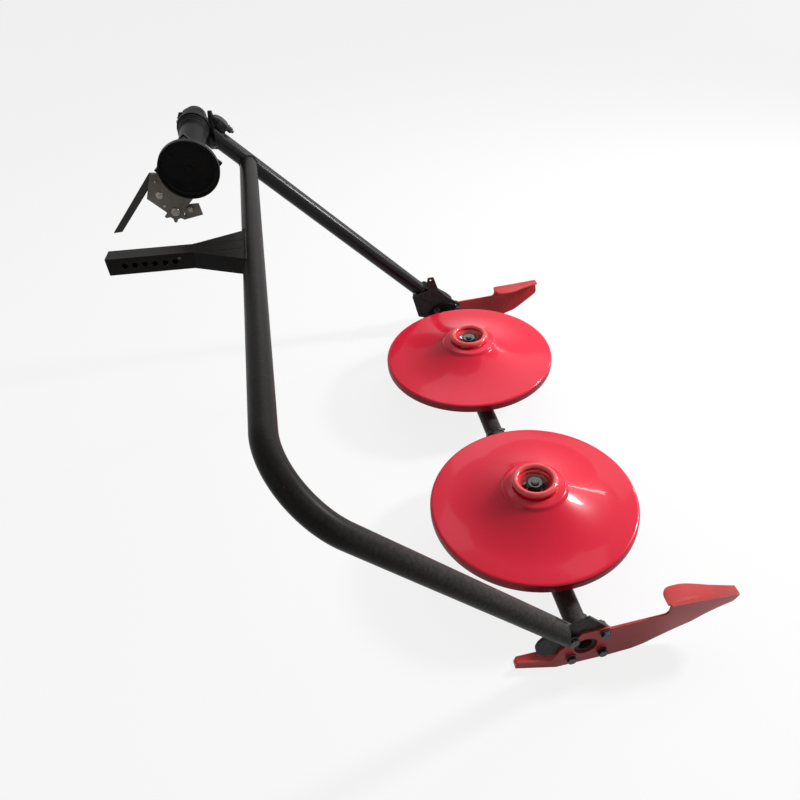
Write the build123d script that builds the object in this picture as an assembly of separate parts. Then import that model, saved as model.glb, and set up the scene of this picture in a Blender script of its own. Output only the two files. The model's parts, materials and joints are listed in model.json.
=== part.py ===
from build123d import *
import math
import os

# A two-disc mower for a walking tractor, built round a cutter bar that lies across the work.
# +X is forward, +Y runs from the near end of the bar to the far end, +Z is up.
# The ground is z = 0, the bar lies over x = 0 and the near disc turns about x = 0, y = 0.
# At the end every piece is moved so that the origin is the bottom centre of the whole.

# Discs, heights measured from the rim's top plane
DISC_R = 250.0
DISC_GAP = 614.5
DISC_WALL = 4.5
RIM_Z = 138.0
LIP_DROP = 23.0
LIP_EDGE_R = 7.0
BAND_W = 42.0
BAND_RISE = 4.0
FLARE_SAG = 0.4
STEP_R = 79.0
STEP_RISE = 43.0
COLLAR_R = 74.0
COLLAR_RISE = 50.0
SEAT_R = 56.0
NECK_R = 50.0
NECK_RISE = 54.0

# Hub, its nut and the spindle
HUB_RING_R = 47.0
HUB_BEAD_R = 8.5
HUB_FOOT_R = 52.0
HUB_HOLE_R = 19.5
HUB_HOLE_H = 10.0
HUB_FLOOR_DROP = 24.0
HUB_WALL = 5.0
BOWL_SAG = 2.0
STUD_R = 10.0
STUD_OUT = 5.0
NUT_FLATS = 30.0
NUT_H = 16.0
SPINDLE_R = 15.0
SPINDLE_FIT = 0.05
SPINDLE_DEPTH = 50.0
SPINDLE_COLLAR_R = 24.0
SPINDLE_COLLAR_H = 8.0

# Knives, hung from pins under the discs
KNIFE_L = 95.0
KNIFE_W = 40.0
KNIFE_T = 4.0
KNIFE_PIN_R = 7.0
KNIFE_PIN_HEAD = 3.0
KNIFE_INSET = 38.0
KNIFE_CLEAR = 3.0
KNIFE_TRAIL = 100.0
KNIFE_COUNT = 2

# Cutter bar and the gear housings on it
TUBE_R = 24.0
BAR_WALL = 7.5
BAR_Z = 57.0
DRUM_R = 58.0
DRUM_BOTTOM = 20.0
LID_OVER = 8.0
LID_R = 68.0
LID_T = 10.0
BEARING_R = 44.0
BEARING_TOP_R = 34.0
BEARING_GAP = 6.0
DRUM_RIB_T = 6.0
DRUM_RIBS = 6

# Legs, cross tube and drive tube
LEG_WALL = 2.9
LEG_ANGLE = 47.4
CROSS_X = -550.0
LEG_OUT = 4.0
BEND_R = 153.0
LEG_END_X = -42.0
DRIVE_RISE = 17.0
DRIVE_CLEAR = 0.5

# Skids, offsets measured outward from the skid's inner face
SKID_GAP = 97.0
SKID_T = 5.0
SKID_HOLE_R = 26.0
SKID_TAIL_X = -147.0
SKID_TAIL_H = 22.0
TAIL_BEND_X = -62.0
TAIL_IN = 18.0
SOLE_W = 37.0
SOLE_FRONT_X = -28.0
SOLE_TAPER_X = -70.0
SOLE_CHAMFER = 8.0
HEEL_LOW_X = -74.0
HEEL_X = -58.0
HEEL_Z = 59.0
PAD_REAR_X = -12.0
PAD_FRONT_X = 46.0
PAD_TOP = 106.0
PAD_STEP = 6.0
SKID_TOP = 104.0
SKID_TOP_DROP = 3.0
RUNNER_END_X = 60.0
RUNNER_MID_X = 140.0
RUNNER_MID_Z = 6.0
NOSE_LOW_X = 250.0
NOSE_LOW_Z = 41.0
TIP_X = 333.0
TIP_LOW_Z = 95.0
LEAN_FROM_X = 110.0
LEAN_MID = 8.0
LEAN_TIP = 16.0
LEAN_Z = 100.0
FIN_X = 181.0
FIN_Z = 135.0
FIN_REAR_W = 24.0
FIN_SHOULDER_X = 192.0
FIN_SHOULDER_W = 38.0
FIN_WIDE_X = 215.0
FIN_W = 41.0
FIN_FRONT_X = 288.0
FIN_FRONT_W = 21.0
FIN_TIP_W = 8.0
RUNNER_FILLET = 60.0
BEND_FILLET = 12.0
HEEL_FILLET = 10.0
TIP_FILLET = 14.0
SMALL_FILLET = 4.0
PAD_FILLET = 2.0
BOLT_R = 6.0
BOLT_GRID_X = 70.0
BOLT_GRID_Z = 68.0
BOLT_CENTRE_X = 5.0

# End plates
PLATE_T = 6.0
PLATE_LOW_Z = 14.0
PLATE_FOOT_Z = 6.0
PLATE_FOOT_X = 30.0
PLATE_FRONT_X = 56.0
PLATE_FRONT_LOW_Z = 10.0
PLATE_FRONT_Z = 92.0
PLATE_TOP_X = 3.0
PLATE_TOP_Z = 152.0
PLATE_REAR_Z = 132.0
LUG_X = -72.0
LUG_Z = 81.0
LUG_R = 38.0
FAR_REAR = [(-50, 45), (-74, 64), (-91, 70), (-108, 150), (-54, 164)]
FAR_FRONT = [(-18, 165), (13, 131), (56, 95)]
EAR_X = -43.0
EAR_Z = 204.0
EAR_REAR_W = 13.0
EAR_FRONT_W = 11.0
EAR_OVER = 9.0
EAR_HOLE_R = 4.0
STAY_HOLES = [(-42, 168), (-30, 164)]
STAY_HOLE_R = 2.5
BAR_COLLAR_WALL = 5.0
BAR_COLLAR_L = 50.0
BAR_FLANGE_R = 56.0
BAR_FLANGE_T = 12.0

# Far gear housing
END_BOX_R = 48.0
END_BOX_W = 60.0
END_CAP_R = 40.0
END_CAP_T = 9.0
END_CAP_BOSS_R = 18.0
END_CAP_BOSS_T = 5.0
NECK_FROM_R = 47.0
NECK_FROM = 20.0
NECK_END_R = 34.0
NECK_TO = 110.0

# Hitch arm
ARM_W = 40.0
ARM_WALL = 4.0
ARM_ROOT_Y = 444.0
ARM_TURN = 5.4
ARM_L = 318.4
ARM_HOLE_R = 6.5
ARM_HOLE_COUNT = 6
ARM_HOLE_PITCH = 22.0
ARM_HOLE_FIRST = 38.0
GUSSET_L = 131.6
GUSSET_HALF = 77.0
GUSSET_WALL = 5.0

# Top gear housing
GEAR_X = -668.0
GEAR_BALL_R = 41.0
GEAR_DROP = 5.0
GEAR_WALL = 7.0
INPUT_BOSS_R = 36.0
REAR_NECK_R = 29.0
FRONT_NECK_R = 34.0
REAR_COVER_X = 38.0
REAR_COVER_R = 34.0
REAR_COVER_T = 14.0
REAR_COVER_DROP = 13.5
REAR_BOSS_R = 20.0
REAR_BOSS_T = 7.0
SIDE_CAP_R = 30.0
SIDE_CAP_Y = 34.0
SIDE_CAP_T = 18.0
FRONT_FLANGE_X = 30.0
FRONT_FLANGE_R = 42.0
FRONT_FLANGE_T = 10.0
SLEEVE_R = 28.0
SLEEVE_TO = 78.0
TUBE_FROM = 58.0
CLAMP_FROM = 25.0
CLAMP_L = 45.0
CLAMP_H = 35.0
CLAMP_LOW = 22.0
CLAMP_W = 34.0

# Input, from the gear housing to the dish
INPUT_TUBE_R = 33.0
INPUT_WALL = 6.0
INPUT_BEARING_L = 16.0
INPUT_RING_R = 42.0
INPUT_RING_T = 14.0
INPUT_RING_Y = 50.0
SHAFT_R = 12.5
SHAFT_GAP = 4.0
SHAFT_FIT = 0.05
DISH_Y = 646.0
DISH_R = 70.0
DISH_T = 5.0
DISH_LIP = 12.0
DISH_HUB_R = 28.0
DISH_HUB_L = 34.0
DISH_BOLT_R = 4.5
DISH_PCD = 96.0
DISH_BOLTS = 4
MOUNT_PLATE_Y = 694.0
MOUNT_PLATE_UP = 47.0
MOUNT_PLATE_DOWN = 70.0
MOUNT_PLATE_REAR = 50.0
MOUNT_PLATE_FRONT = 58.0
MOUNT_PLATE_T = 8.0
RUNNING_GAP = 6.0

# Galvanised latch, outlines measured from the input axis: along the legs' slope, then across it
LATCH_Y = 712.0
LATCH_T = 4.0
LATCH_REAR = [(-46, -30), (-40, -83), (-50, -93), (-22, -150)]
LATCH_FRONT = [(36, -151), (48, -146), (62, -112), (60, -30)]
LEVER_T = 6.0
LEVER_OUTLINE = [(-40, -83), (-52, -93), (-33, -280), (-19, -264), (-34, -96)]
SECTOR_PLACE = (48, -136)
SECTOR_TIP_R = 31.0
SECTOR_ROOT_R = 22.0
TOOTH_COUNT = 7
TOOTH_TURN = -56.0
TOOTH_ROOT = 0.32
TOOTH_TIP = 0.1
BACK_OUTLINE = [(57, -109), (78.5, -143), (105, -103.5), (80, -85)]

angle = math.radians(LEG_ANGLE)
down = Vector(math.cos(angle), 0, -math.sin(angle))
across = Vector(math.sin(angle), 0, math.cos(angle))
forward = Vector(1, 0, 0)
outboard = Vector(0, 1, 0)
bar_axis = Vector(0, 0, BAR_Z)
band_in_r = DISC_R - BAND_W
skid_in = DISC_R + SKID_GAP
knife_ring_r = DISC_R - KNIFE_INSET
REACH = 4 * DISC_GAP
hub_floor = NECK_RISE - HUB_FLOOR_DROP
bead_z = NECK_RISE + HUB_BEAD_R
housing_top = RIM_Z + hub_floor - HUB_WALL - SPINDLE_COLLAR_H - BEARING_GAP
near_skid_y = -skid_in
far_skid_y = DISC_GAP + skid_in
run_y = near_skid_y + LEG_OUT
drive_y = far_skid_y + SKID_T + TUBE_R + DRIVE_CLEAR
cross_z = BAR_Z - CROSS_X * math.tan(angle)
gear_z = BAR_Z - GEAR_X * math.tan(angle)
gear_centre = Vector(GEAR_X, drive_y, gear_z)
drive_root = Vector(0, drive_y, BAR_Z + DRIVE_RISE)
drive_line = gear_centre - drive_root
drive_len = drive_line.length
drive_up = drive_line.normalized()

nodes = {}


def rod(start, end, radius):
    """A solid round bar from one point to another."""
    line = end - start
    plane = Plane(origin=start, z_dir=line)
    return plane * Cylinder(radius, line.length, align=(Align.CENTER, Align.CENTER, Align.MIN))


def tube(start, end, radius, wall):
    """A round tube from one point to another."""
    return rod(start, end, radius) - rod(start, end, radius - wall)


def taper(start, end, start_r, end_r):
    """A solid cone between two radii."""
    line = end - start
    plane = Plane(origin=start, z_dir=line)
    return plane * Cone(start_r, end_r, line.length, align=(Align.CENTER, Align.CENTER, Align.MIN))


def sheet(points):
    """A flat face inside the given corners."""
    return make_face(Polyline(*points, close=True))


def ahead_of(x):
    """Everything in front of the upright plane at x."""
    return Pos(x, 0, 0) * Box(REACH, 2 * REACH, 2 * REACH, align=(Align.MIN, Align.CENTER, Align.CENTER))


def beyond(y):
    """Everything on the far side of the upright plane at y."""
    return Pos(0, y, 0) * Box(2 * REACH, REACH, 2 * REACH, align=(Align.CENTER, Align.MIN, Align.CENTER))


def upright(y):
    """A plane across the bar at y, drawn in x and z, whose normal points to -Y."""
    return Plane(origin=(0, y, 0), x_dir=(1, 0, 0), z_dir=(0, -1, 0))


def tilted(y):
    """A plane across the input axis at y: its x runs down the legs, its normal points to -Y."""
    return Plane(origin=(GEAR_X, y, gear_z), x_dir=down, z_dir=(0, -1, 0))


def cross_hole(x, z, near, radius):
    """A cutter through a plate that stands at near and is no thicker than the end plate or skid."""
    deep = max(PLATE_T, SKID_T) + 1
    return rod(Vector(x, near - 1, z), Vector(x, near + deep, z), radius)


def bolt_places():
    """The four bolts that hold a skid to its end plate, in x and z."""
    return [
        (BOLT_CENTRE_X + i * BOLT_GRID_X / 2, BAR_Z + k * BOLT_GRID_Z / 2)
        for i in (-1, 1)
        for k in (-1, 1)
    ]


def flare(drop):
    """The curve from the flat band up to the step, lowered by the wall for the inner side."""
    middle_r = (band_in_r + STEP_R) / 2
    return Spline(
        (band_in_r, BAND_RISE - drop),
        (middle_r, STEP_RISE * FLARE_SAG - drop),
        (STEP_R, STEP_RISE - drop),
    )


def disc_shell():
    """The pressed pan: a lip, a flat band, a flared cone, and a stepped seat for the hub."""
    wall = DISC_WALL
    corner_r = DISC_R - LIP_EDGE_R
    profile = Curve() + [
        Line((DISC_R, -LIP_DROP), (DISC_R, -LIP_EDGE_R)),
        RadiusArc((DISC_R, -LIP_EDGE_R), (corner_r, 0), -LIP_EDGE_R),
        Line((corner_r, 0), (band_in_r, BAND_RISE)),
        flare(0),
        Line((STEP_R, STEP_RISE), (COLLAR_R, COLLAR_RISE)),
        Line((COLLAR_R, COLLAR_RISE), (SEAT_R, NECK_RISE)),
        Line((SEAT_R, NECK_RISE), (NECK_R, NECK_RISE)),
        Line((NECK_R, NECK_RISE), (NECK_R, NECK_RISE - wall)),
        Line((NECK_R, NECK_RISE - wall), (SEAT_R, NECK_RISE - wall)),
        Line((SEAT_R, NECK_RISE - wall), (COLLAR_R - wall / 2, COLLAR_RISE - wall)),
        Line((COLLAR_R - wall / 2, COLLAR_RISE - wall), (STEP_R, STEP_RISE - wall)),
        flare(wall),
        Line((band_in_r, BAND_RISE - wall), (corner_r, -wall)),
        RadiusArc((corner_r, -wall), (DISC_R - wall, -LIP_EDGE_R), LIP_EDGE_R - wall),
        Line((DISC_R - wall, -LIP_EDGE_R), (DISC_R - wall, -LIP_DROP)),
        Line((DISC_R - wall, -LIP_DROP), (DISC_R, -LIP_DROP)),
    ]
    return revolve(make_face(Plane.XZ * profile), Axis.Z, 360)


def disc_hub():
    """The hub: a fat round ring on the pan's seat, and a bowl that narrows to the nut's recess."""
    bowl_r = HUB_RING_R - HUB_BEAD_R
    bowl_low = (HUB_HOLE_R, hub_floor + HUB_HOLE_H)
    bowl_mid = ((HUB_HOLE_R + bowl_r) / 2 + BOWL_SAG, (bowl_low[1] + bead_z) / 2 - BOWL_SAG)
    under = hub_floor - HUB_WALL
    profile = Curve() + [
        Line((STUD_R, under), (STUD_R, hub_floor)),
        Line((STUD_R, hub_floor), (HUB_HOLE_R, hub_floor)),
        Line((HUB_HOLE_R, hub_floor), bowl_low),
        ThreePointArc(bowl_low, bowl_mid, (bowl_r, bead_z)),
        Line((bowl_r, bead_z), (HUB_FOOT_R, bead_z)),
        Line((HUB_FOOT_R, bead_z), (HUB_FOOT_R, NECK_RISE)),
        Line((HUB_FOOT_R, NECK_RISE), (bowl_r + HUB_WALL, NECK_RISE)),
        Line((bowl_r + HUB_WALL, NECK_RISE), (HUB_HOLE_R + HUB_WALL, bowl_low[1] - HUB_WALL)),
        Line((HUB_HOLE_R + HUB_WALL, bowl_low[1] - HUB_WALL), (HUB_HOLE_R + HUB_WALL, under)),
        Line((HUB_HOLE_R + HUB_WALL, under), (STUD_R, under)),
    ]
    bead = Pos(HUB_RING_R, bead_z) * Circle(HUB_BEAD_R)
    cup = revolve(make_face(Plane.XZ * profile), Axis.Z, 360)
    return cup + revolve(Plane.XZ * bead, Axis.Z, 360)


def disc_spindle():
    """The upright shaft, its collar under the hub, and the stud and nut that clamp the hub."""
    under = hub_floor - HUB_WALL
    foot = housing_top - SPINDLE_DEPTH - RIM_Z
    shaft = rod(Vector(0, 0, foot), Vector(0, 0, under), SPINDLE_R)
    collar = rod(Vector(0, 0, under - SPINDLE_COLLAR_H), Vector(0, 0, under), SPINDLE_COLLAR_R)
    stud = rod(Vector(0, 0, under), Vector(0, 0, hub_floor + NUT_H + STUD_OUT), STUD_R)
    hexagon = RegularPolygon(NUT_FLATS / 2 / math.cos(math.pi / 6), 6)
    nut = Pos(0, 0, hub_floor) * extrude(hexagon, NUT_H)
    return shaft + collar + stud + nut


def disc_knives():
    """The knives hang from pins under the pan's flat band and trail along its rim."""
    shell = disc_shell()
    blade_z = -LIP_DROP - KNIFE_CLEAR - KNIFE_T
    made = []
    for turn in range(KNIFE_COUNT):
        slot = Pos(KNIFE_L / 2 - KNIFE_W / 2, 0) * SlotOverall(KNIFE_L, KNIFE_W)
        blade = Pos(knife_ring_r, 0, blade_z) * Rot(0, 0, KNIFE_TRAIL) * extrude(slot, KNIFE_T)
        pin_foot = Vector(knife_ring_r, 0, blade_z - KNIFE_PIN_HEAD)
        pin = rod(pin_foot, Vector(knife_ring_r, 0, 0), KNIFE_PIN_R) - shell
        made.append(Rot(0, 0, 360 / KNIFE_COUNT * turn) * (blade + pin))
    return made


def disc_housing():
    """The gear housing under a disc: a saddle on the bar, a ribbed lid and the spindle's bearing."""
    lid_z = BAR_Z + TUBE_R + LID_OVER
    lid_top = lid_z + LID_T
    drum = rod(Vector(0, 0, DRUM_BOTTOM), Vector(0, 0, lid_z), DRUM_R)
    lid = rod(Vector(0, 0, lid_z), Vector(0, 0, lid_top), LID_R)
    bearing = taper(Vector(0, 0, lid_top), Vector(0, 0, housing_top), BEARING_R, BEARING_TOP_R)
    body = drum + lid + bearing
    for step in range(DRUM_RIBS):
        rib = [(0, lid_top), (LID_R, lid_top), (BEARING_TOP_R, housing_top - LID_T), (0, housing_top - LID_T)]
        web = extrude(Plane.XZ * make_face(Polyline(*rib, close=True)), DRUM_RIB_T / 2, both=True)
        body = body + Rot(0, 0, 360 / DRUM_RIBS * step) * web
    bore_foot = Vector(0, 0, housing_top - SPINDLE_DEPTH)
    bore = rod(bore_foot, Vector(0, 0, housing_top), SPINDLE_R + SPINDLE_FIT)
    reach = Vector(0, LID_R, 0)
    return body - bore - rod(bar_axis - reach, bar_axis + reach, TUBE_R)


def skid(side_y, outward):
    """A skid: a plate on edge, its tail turned inward over a flat sole, its nose leaning outward."""
    outline = [
        (SKID_TAIL_X, 0, SMALL_FILLET),
        (RUNNER_END_X, 0, RUNNER_FILLET),
        (RUNNER_MID_X, RUNNER_MID_Z, RUNNER_FILLET),
        (NOSE_LOW_X, NOSE_LOW_Z, RUNNER_FILLET),
        (TIP_X, TIP_LOW_Z, TIP_FILLET),
        (TIP_X, FIN_Z, SMALL_FILLET),
        (FIN_X, FIN_Z, SMALL_FILLET),
        (FIN_X, SKID_TOP, BEND_FILLET),
        (PAD_FRONT_X + PAD_STEP, SKID_TOP - SKID_TOP_DROP, PAD_FILLET),
        (PAD_FRONT_X, PAD_TOP, PAD_FILLET),
        (PAD_REAR_X, PAD_TOP, SMALL_FILLET),
        (HEEL_X, HEEL_Z, HEEL_FILLET),
        (HEEL_LOW_X, SKID_TAIL_H, HEEL_FILLET),
        (SKID_TAIL_X, SKID_TAIL_H, SMALL_FILLET),
    ]
    corners = [(x, z) for x, z, radius in outline]
    radii = [radius for x, z, radius in outline]
    face = make_face(FilletPolyline(*corners, radius=radii, close=True))
    middle_y = side_y + outward * SKID_T / 2
    wide = SOLE_W + 2 * SKID_T
    flat_align = (Align.MAX, Align.CENTER, Align.MIN)
    flat_len = LEAN_FROM_X - TAIL_BEND_X
    flat = Pos(LEAN_FROM_X, middle_y, 0) * Box(flat_len, SKID_T, FIN_Z, align=flat_align)
    turn = math.degrees(math.atan(TAIL_IN / (TAIL_BEND_X - SKID_TAIL_X)))
    lap = SKID_T / 4
    tail_place = Pos(TAIL_BEND_X + lap, middle_y, 0) * Rot(0, 0, outward * turn)
    tail = tail_place * Box(-2 * SKID_TAIL_X, SKID_T, FIN_Z, align=flat_align)
    sections = []
    for x in (LEAN_FROM_X, NOSE_LOW_X, TIP_X + SKID_T):
        section = Plane.YZ * Rectangle(SKID_T, 2 * FIN_Z)
        sections.append(Pos(x, middle_y, LEAN_Z) * Rot(-outward * lean(x), 0, 0) * section)
    nose = loft(sections, ruled=True)
    plate = extrude(upright(side_y) * face, wide, both=True) & (flat + tail + nose)
    plate = plate - cross_hole(0, BAR_Z, middle_y - SKID_T / 2, SKID_HOLE_R)
    for x, z in bolt_places():
        plate = plate - cross_hole(x, z, middle_y - SKID_T / 2, BOLT_R)
    return plate + skid_sole(side_y, outward) + skid_fin(side_y, outward)


def lean(x):
    """How far the nose leans outward at x, in degrees."""
    if x <= LEAN_FROM_X:
        return 0
    if x <= NOSE_LOW_X:
        return LEAN_MID * (x - LEAN_FROM_X) / (NOSE_LOW_X - LEAN_FROM_X)
    return LEAN_MID + (LEAN_TIP - LEAN_MID) * (x - NOSE_LOW_X) / (TIP_X - NOSE_LOW_X)


def skid_sole(side_y, outward):
    """The flat runner folded in under the tail."""
    points = [
        (SKID_TAIL_X, SKID_T - TAIL_IN),
        (TAIL_BEND_X, SKID_T),
        (SOLE_FRONT_X, SKID_T),
        (SOLE_FRONT_X, 0),
        (SOLE_TAPER_X, -SOLE_W),
        (SKID_TAIL_X + SOLE_CHAMFER, -SOLE_W),
        (SKID_TAIL_X, SOLE_CHAMFER - SOLE_W),
    ]
    placed = [(x, side_y + outward * offset) for x, offset in points]
    return extrude(sheet(placed), SKID_T)


def skid_fin(side_y, outward):
    """The fin folded in from the nose's top edge."""
    free = [
        (FIN_X, -FIN_REAR_W),
        (FIN_SHOULDER_X, -FIN_SHOULDER_W),
        (FIN_WIDE_X, -FIN_W),
        (FIN_FRONT_X, -FIN_FRONT_W),
        (TIP_X, -FIN_TIP_W),
    ]
    rise = FIN_Z - LEAN_Z
    edge = [(x, rise * math.tan(math.radians(lean(x))) + SKID_T / 2) for x in (TIP_X, NOSE_LOW_X, FIN_X)]
    placed = [(x, side_y + outward * offset) for x, offset in free + edge]
    return Pos(0, 0, FIN_Z - SKID_T) * extrude(sheet(placed), SKID_T)


def plate_foot():
    """The corners that both end plates share, from the front round the bottom to the rear."""
    return [
        (PLATE_FRONT_X, PLATE_FRONT_LOW_Z),
        (PLATE_FOOT_X, PLATE_FOOT_Z),
        (-PLATE_FOOT_X, PLATE_FOOT_Z),
    ]


def end_plate(near, outline):
    """A black plate between the bar and a skid, drilled for the skid's bolts."""
    plate = extrude(upright(near + PLATE_T) * outline, PLATE_T)
    for x, z in bolt_places():
        plate = plate - cross_hole(x, z, near, BOLT_R)
    return plate


def leg_point(distance, y):
    """A point on the side leg's axis, measured from the bar up the slope."""
    point = bar_axis - down * distance
    return Vector(point.X, y, point.Z)


def drive_point(distance):
    """A point on the drive tube's axis, measured down from the gear centre."""
    return gear_centre - drive_up * distance


# Discs and their housings
for name, y, turn in (("near", 0, 0), ("far", DISC_GAP, 90)):
    place = Pos(0, y, RIM_Z) * Rot(0, 0, turn)
    nodes[name + "_disc_shell"] = place * disc_shell()
    nodes[name + "_disc_hub"] = place * disc_hub()
    nodes[name + "_disc_spindle"] = place * disc_spindle()
    for number, knife in enumerate(disc_knives(), 1):
        nodes[name + "_knife_" + str(number)] = place * knife
    nodes[name + "_disc_housing"] = Pos(0, y, 0) * disc_housing()

# Cutter bar, its collar and flange
bar_near = Vector(0, near_skid_y, BAR_Z)
bar_far = Vector(0, far_skid_y, BAR_Z)
bar_solid = rod(bar_near, bar_far, TUBE_R)
nodes["cutter_bar_tube"] = tube(bar_near, bar_far, TUBE_R, BAR_WALL)
collar_a = bar_near + outboard * PLATE_T
collar_solid = rod(collar_a, collar_a + outboard * BAR_COLLAR_L, TUBE_R + BAR_COLLAR_WALL)
nodes["near_bar_collar"] = collar_solid - bar_solid
flange_end = bar_far - outboard * PLATE_T
nodes["far_bar_flange"] = rod(flange_end - outboard * BAR_FLANGE_T, flange_end, BAR_FLANGE_R) - bar_solid

# Side leg, bend and cross tube
corner_dist = -CROSS_X / math.cos(angle)
run_start = leg_point(corner_dist - BEND_R, run_y)
bend_start = leg_point(corner_dist, run_y + BEND_R)
cross_end = leg_point(corner_dist, drive_y)
leg_solid = rod(leg_point(0, run_y), run_start, TUBE_R)
leg_above = leg_solid - ahead_of(LEG_END_X)
nodes["side_leg_tube"] = leg_above - rod(leg_point(0, run_y), run_start, TUBE_R - LEG_WALL)
socket = leg_solid & ahead_of(LEG_END_X) & beyond(near_skid_y + PLATE_T)
nodes["side_leg_socket"] = socket - collar_solid
ring = Plane(origin=bend_start, z_dir=(0, 1, 0)) * (Circle(TUBE_R) - Circle(TUBE_R - LEG_WALL))
nodes["side_bend"] = revolve(ring, Axis(bend_start + down * BEND_R, across), 90)
drive_low = drive_point(drive_len - NECK_TO)
drive_top = drive_point(TUBE_FROM)
drive_solid = rod(drive_low, gear_centre, TUBE_R)
nodes["drive_tube"] = tube(drive_low, drive_top, TUBE_R, LEG_WALL)
cross_solid = rod(bend_start, cross_end, TUBE_R)
nodes["cross_tube"] = tube(bend_start, cross_end, TUBE_R, LEG_WALL) - drive_solid

# Skids and end plates
nodes["near_skid"] = skid(near_skid_y, -1) - leg_above
nodes["far_skid"] = skid(far_skid_y, 1)
near_top = [(LEG_END_X, PLATE_LOW_Z), (LEG_END_X, PLATE_REAR_Z), (PLATE_TOP_X, PLATE_TOP_Z)]
near_front = [(PLATE_FRONT_X, PLATE_FRONT_Z)]
near_outline = sheet(near_top + near_front + plate_foot()) + Pos(LUG_X, LUG_Z) * Circle(LUG_R)
nodes["near_end_plate"] = end_plate(near_skid_y, near_outline) - bar_solid - leg_above
ear = [
    (EAR_X - EAR_REAR_W, EAR_Z - EAR_REAR_W),
    (EAR_X - EAR_OVER, EAR_Z + EAR_OVER),
    (EAR_X + EAR_FRONT_W, EAR_Z + EAR_OVER),
]
far_outline = sheet(FAR_REAR + ear + FAR_FRONT + plate_foot())
far_plate_y = far_skid_y - PLATE_T
far_plate = end_plate(far_plate_y, far_outline) - bar_solid
far_plate = far_plate - cross_hole(EAR_X, EAR_Z, far_plate_y, EAR_HOLE_R)
for x, z in STAY_HOLES:
    far_plate = far_plate - cross_hole(x, z, far_plate_y, STAY_HOLE_R)
nodes["far_end_plate"] = far_plate

# Far gear housing, where the drive shaft meets the bar
box_a = bar_far + outboard * SKID_T
box_b = box_a + outboard * END_BOX_W
neck = taper(drive_point(drive_len - NECK_FROM), drive_low, NECK_FROM_R, NECK_END_R)
drum = rod(box_a, box_b, END_BOX_R) + rod(drive_root, drive_point(drive_len - NECK_FROM), NECK_FROM_R)
nodes["far_gear_housing"] = ((drum + neck) & beyond(box_a.Y)) - beyond(box_b.Y)
cover = rod(box_b, box_b + outboard * END_CAP_T, END_CAP_R)
boss_end = box_b + outboard * (END_CAP_T + END_CAP_BOSS_T)
nodes["far_gear_cover"] = cover + rod(box_b, boss_end, END_CAP_BOSS_R)

# Hitch arm, turned a little outward, with a boxed flare on each side
arm_frame = Pos(CROSS_X, ARM_ROOT_Y, cross_z) * Rot(0, 0, -ARM_TURN)
arm_align = (Align.MAX, Align.CENTER, Align.CENTER)
hollow_w = ARM_W - 2 * ARM_WALL
arm = Box(ARM_L, ARM_W, ARM_W, align=arm_align) - Box(ARM_L, hollow_w, hollow_w, align=arm_align)
for step in range(ARM_HOLE_COUNT):
    x = -ARM_L + ARM_HOLE_FIRST + step * ARM_HOLE_PITCH
    arm = arm - rod(Vector(x, -ARM_W, 0), Vector(x, ARM_W, 0), ARM_HOLE_R)
nodes["hitch_arm"] = arm_frame * arm - cross_solid
for name, side in (("near", -1), ("far", 1)):
    root = side * ARM_W / 2
    flare_w = GUSSET_HALF - ARM_W / 2
    inner = 1 - GUSSET_WALL / flare_w
    outer_face = sheet([(0, root), (-GUSSET_L, root), (0, root + side * flare_w)])
    inner_face = sheet([(0, root), (-GUSSET_L * inner, root), (0, root + side * flare_w * inner)])
    wedge = extrude(outer_face, ARM_W / 2, both=True) - extrude(inner_face, hollow_w / 2, both=True)
    nodes["hitch_gusset_" + name] = arm_frame * wedge - cross_solid

# Top gear housing: a ball with a rear cover, a side cap and a front flange on the drive tube
ball_centre = gear_centre - Vector(0, 0, GEAR_DROP)
ball_place = Pos(ball_centre.X, ball_centre.Y, ball_centre.Z)
ball = ball_place * Rot(0, 90, 0) * Sphere(GEAR_BALL_R)
cover_centre = gear_centre - Vector(REAR_COVER_X, 0, REAR_COVER_DROP)
cover_front = cover_centre + forward * REAR_COVER_T
button = rod(cover_centre - forward * REAR_BOSS_T, cover_centre, REAR_BOSS_R)
nodes["top_gear_dome"] = rod(cover_centre, cover_front, REAR_COVER_R) + button
input_b = gear_centre - outboard * INPUT_RING_Y
front_centre = drive_point(-FRONT_FLANGE_X / drive_up.X)
body = ball + rod(input_b, gear_centre, INPUT_BOSS_R)
body = body + rod(cover_front, cover_front + forward * REAR_COVER_X, REAR_NECK_R)
body = body + rod(gear_centre, drive_point(SLEEVE_TO), FRONT_NECK_R)
body = (body & ahead_of(cover_front.X)) - ahead_of(front_centre.X)
cavity = ball_place * Rot(0, 90, 0) * Sphere(GEAR_BALL_R - GEAR_WALL)
nodes["top_gear_housing"] = body - cavity - rod(drive_top, drive_low, TUBE_R)
cap_a = ball_centre + outboard * SIDE_CAP_Y
cap_solid = rod(cap_a, cap_a + outboard * SIDE_CAP_T, SIDE_CAP_R)
nodes["top_gear_cap"] = (cap_solid & ahead_of(cover_front.X)) - ahead_of(front_centre.X) - ball
front_disc = front_centre + Vector(0, 0, drive_up.Z / drive_up.X * FRONT_FLANGE_T / 2)
front_solid = rod(front_disc, front_disc + forward * FRONT_FLANGE_T, FRONT_FLANGE_R)
sleeve_solid = rod(gear_centre, drive_point(SLEEVE_TO), SLEEVE_R)
tube_solid = rod(drive_top, drive_point(drive_len), TUBE_R)
nodes["drive_tube_flange"] = front_solid + (sleeve_solid & ahead_of(front_centre.X)) - tube_solid

# Clamp block on the drive tube's sleeve
clamp_place = Plane(origin=gear_centre, x_dir=drive_up * -1, z_dir=(0, -1, 0))
clamp_box = Box(CLAMP_L, CLAMP_H, CLAMP_W, align=(Align.MIN, Align.MIN, Align.CENTER))
clamp = clamp_place * Pos(CLAMP_FROM, CLAMP_LOW, 0) * clamp_box
clamp = clamp & ahead_of(front_centre.X + FRONT_FLANGE_T)
nodes["clamp_block"] = clamp - sleeve_solid - tube_solid

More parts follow.
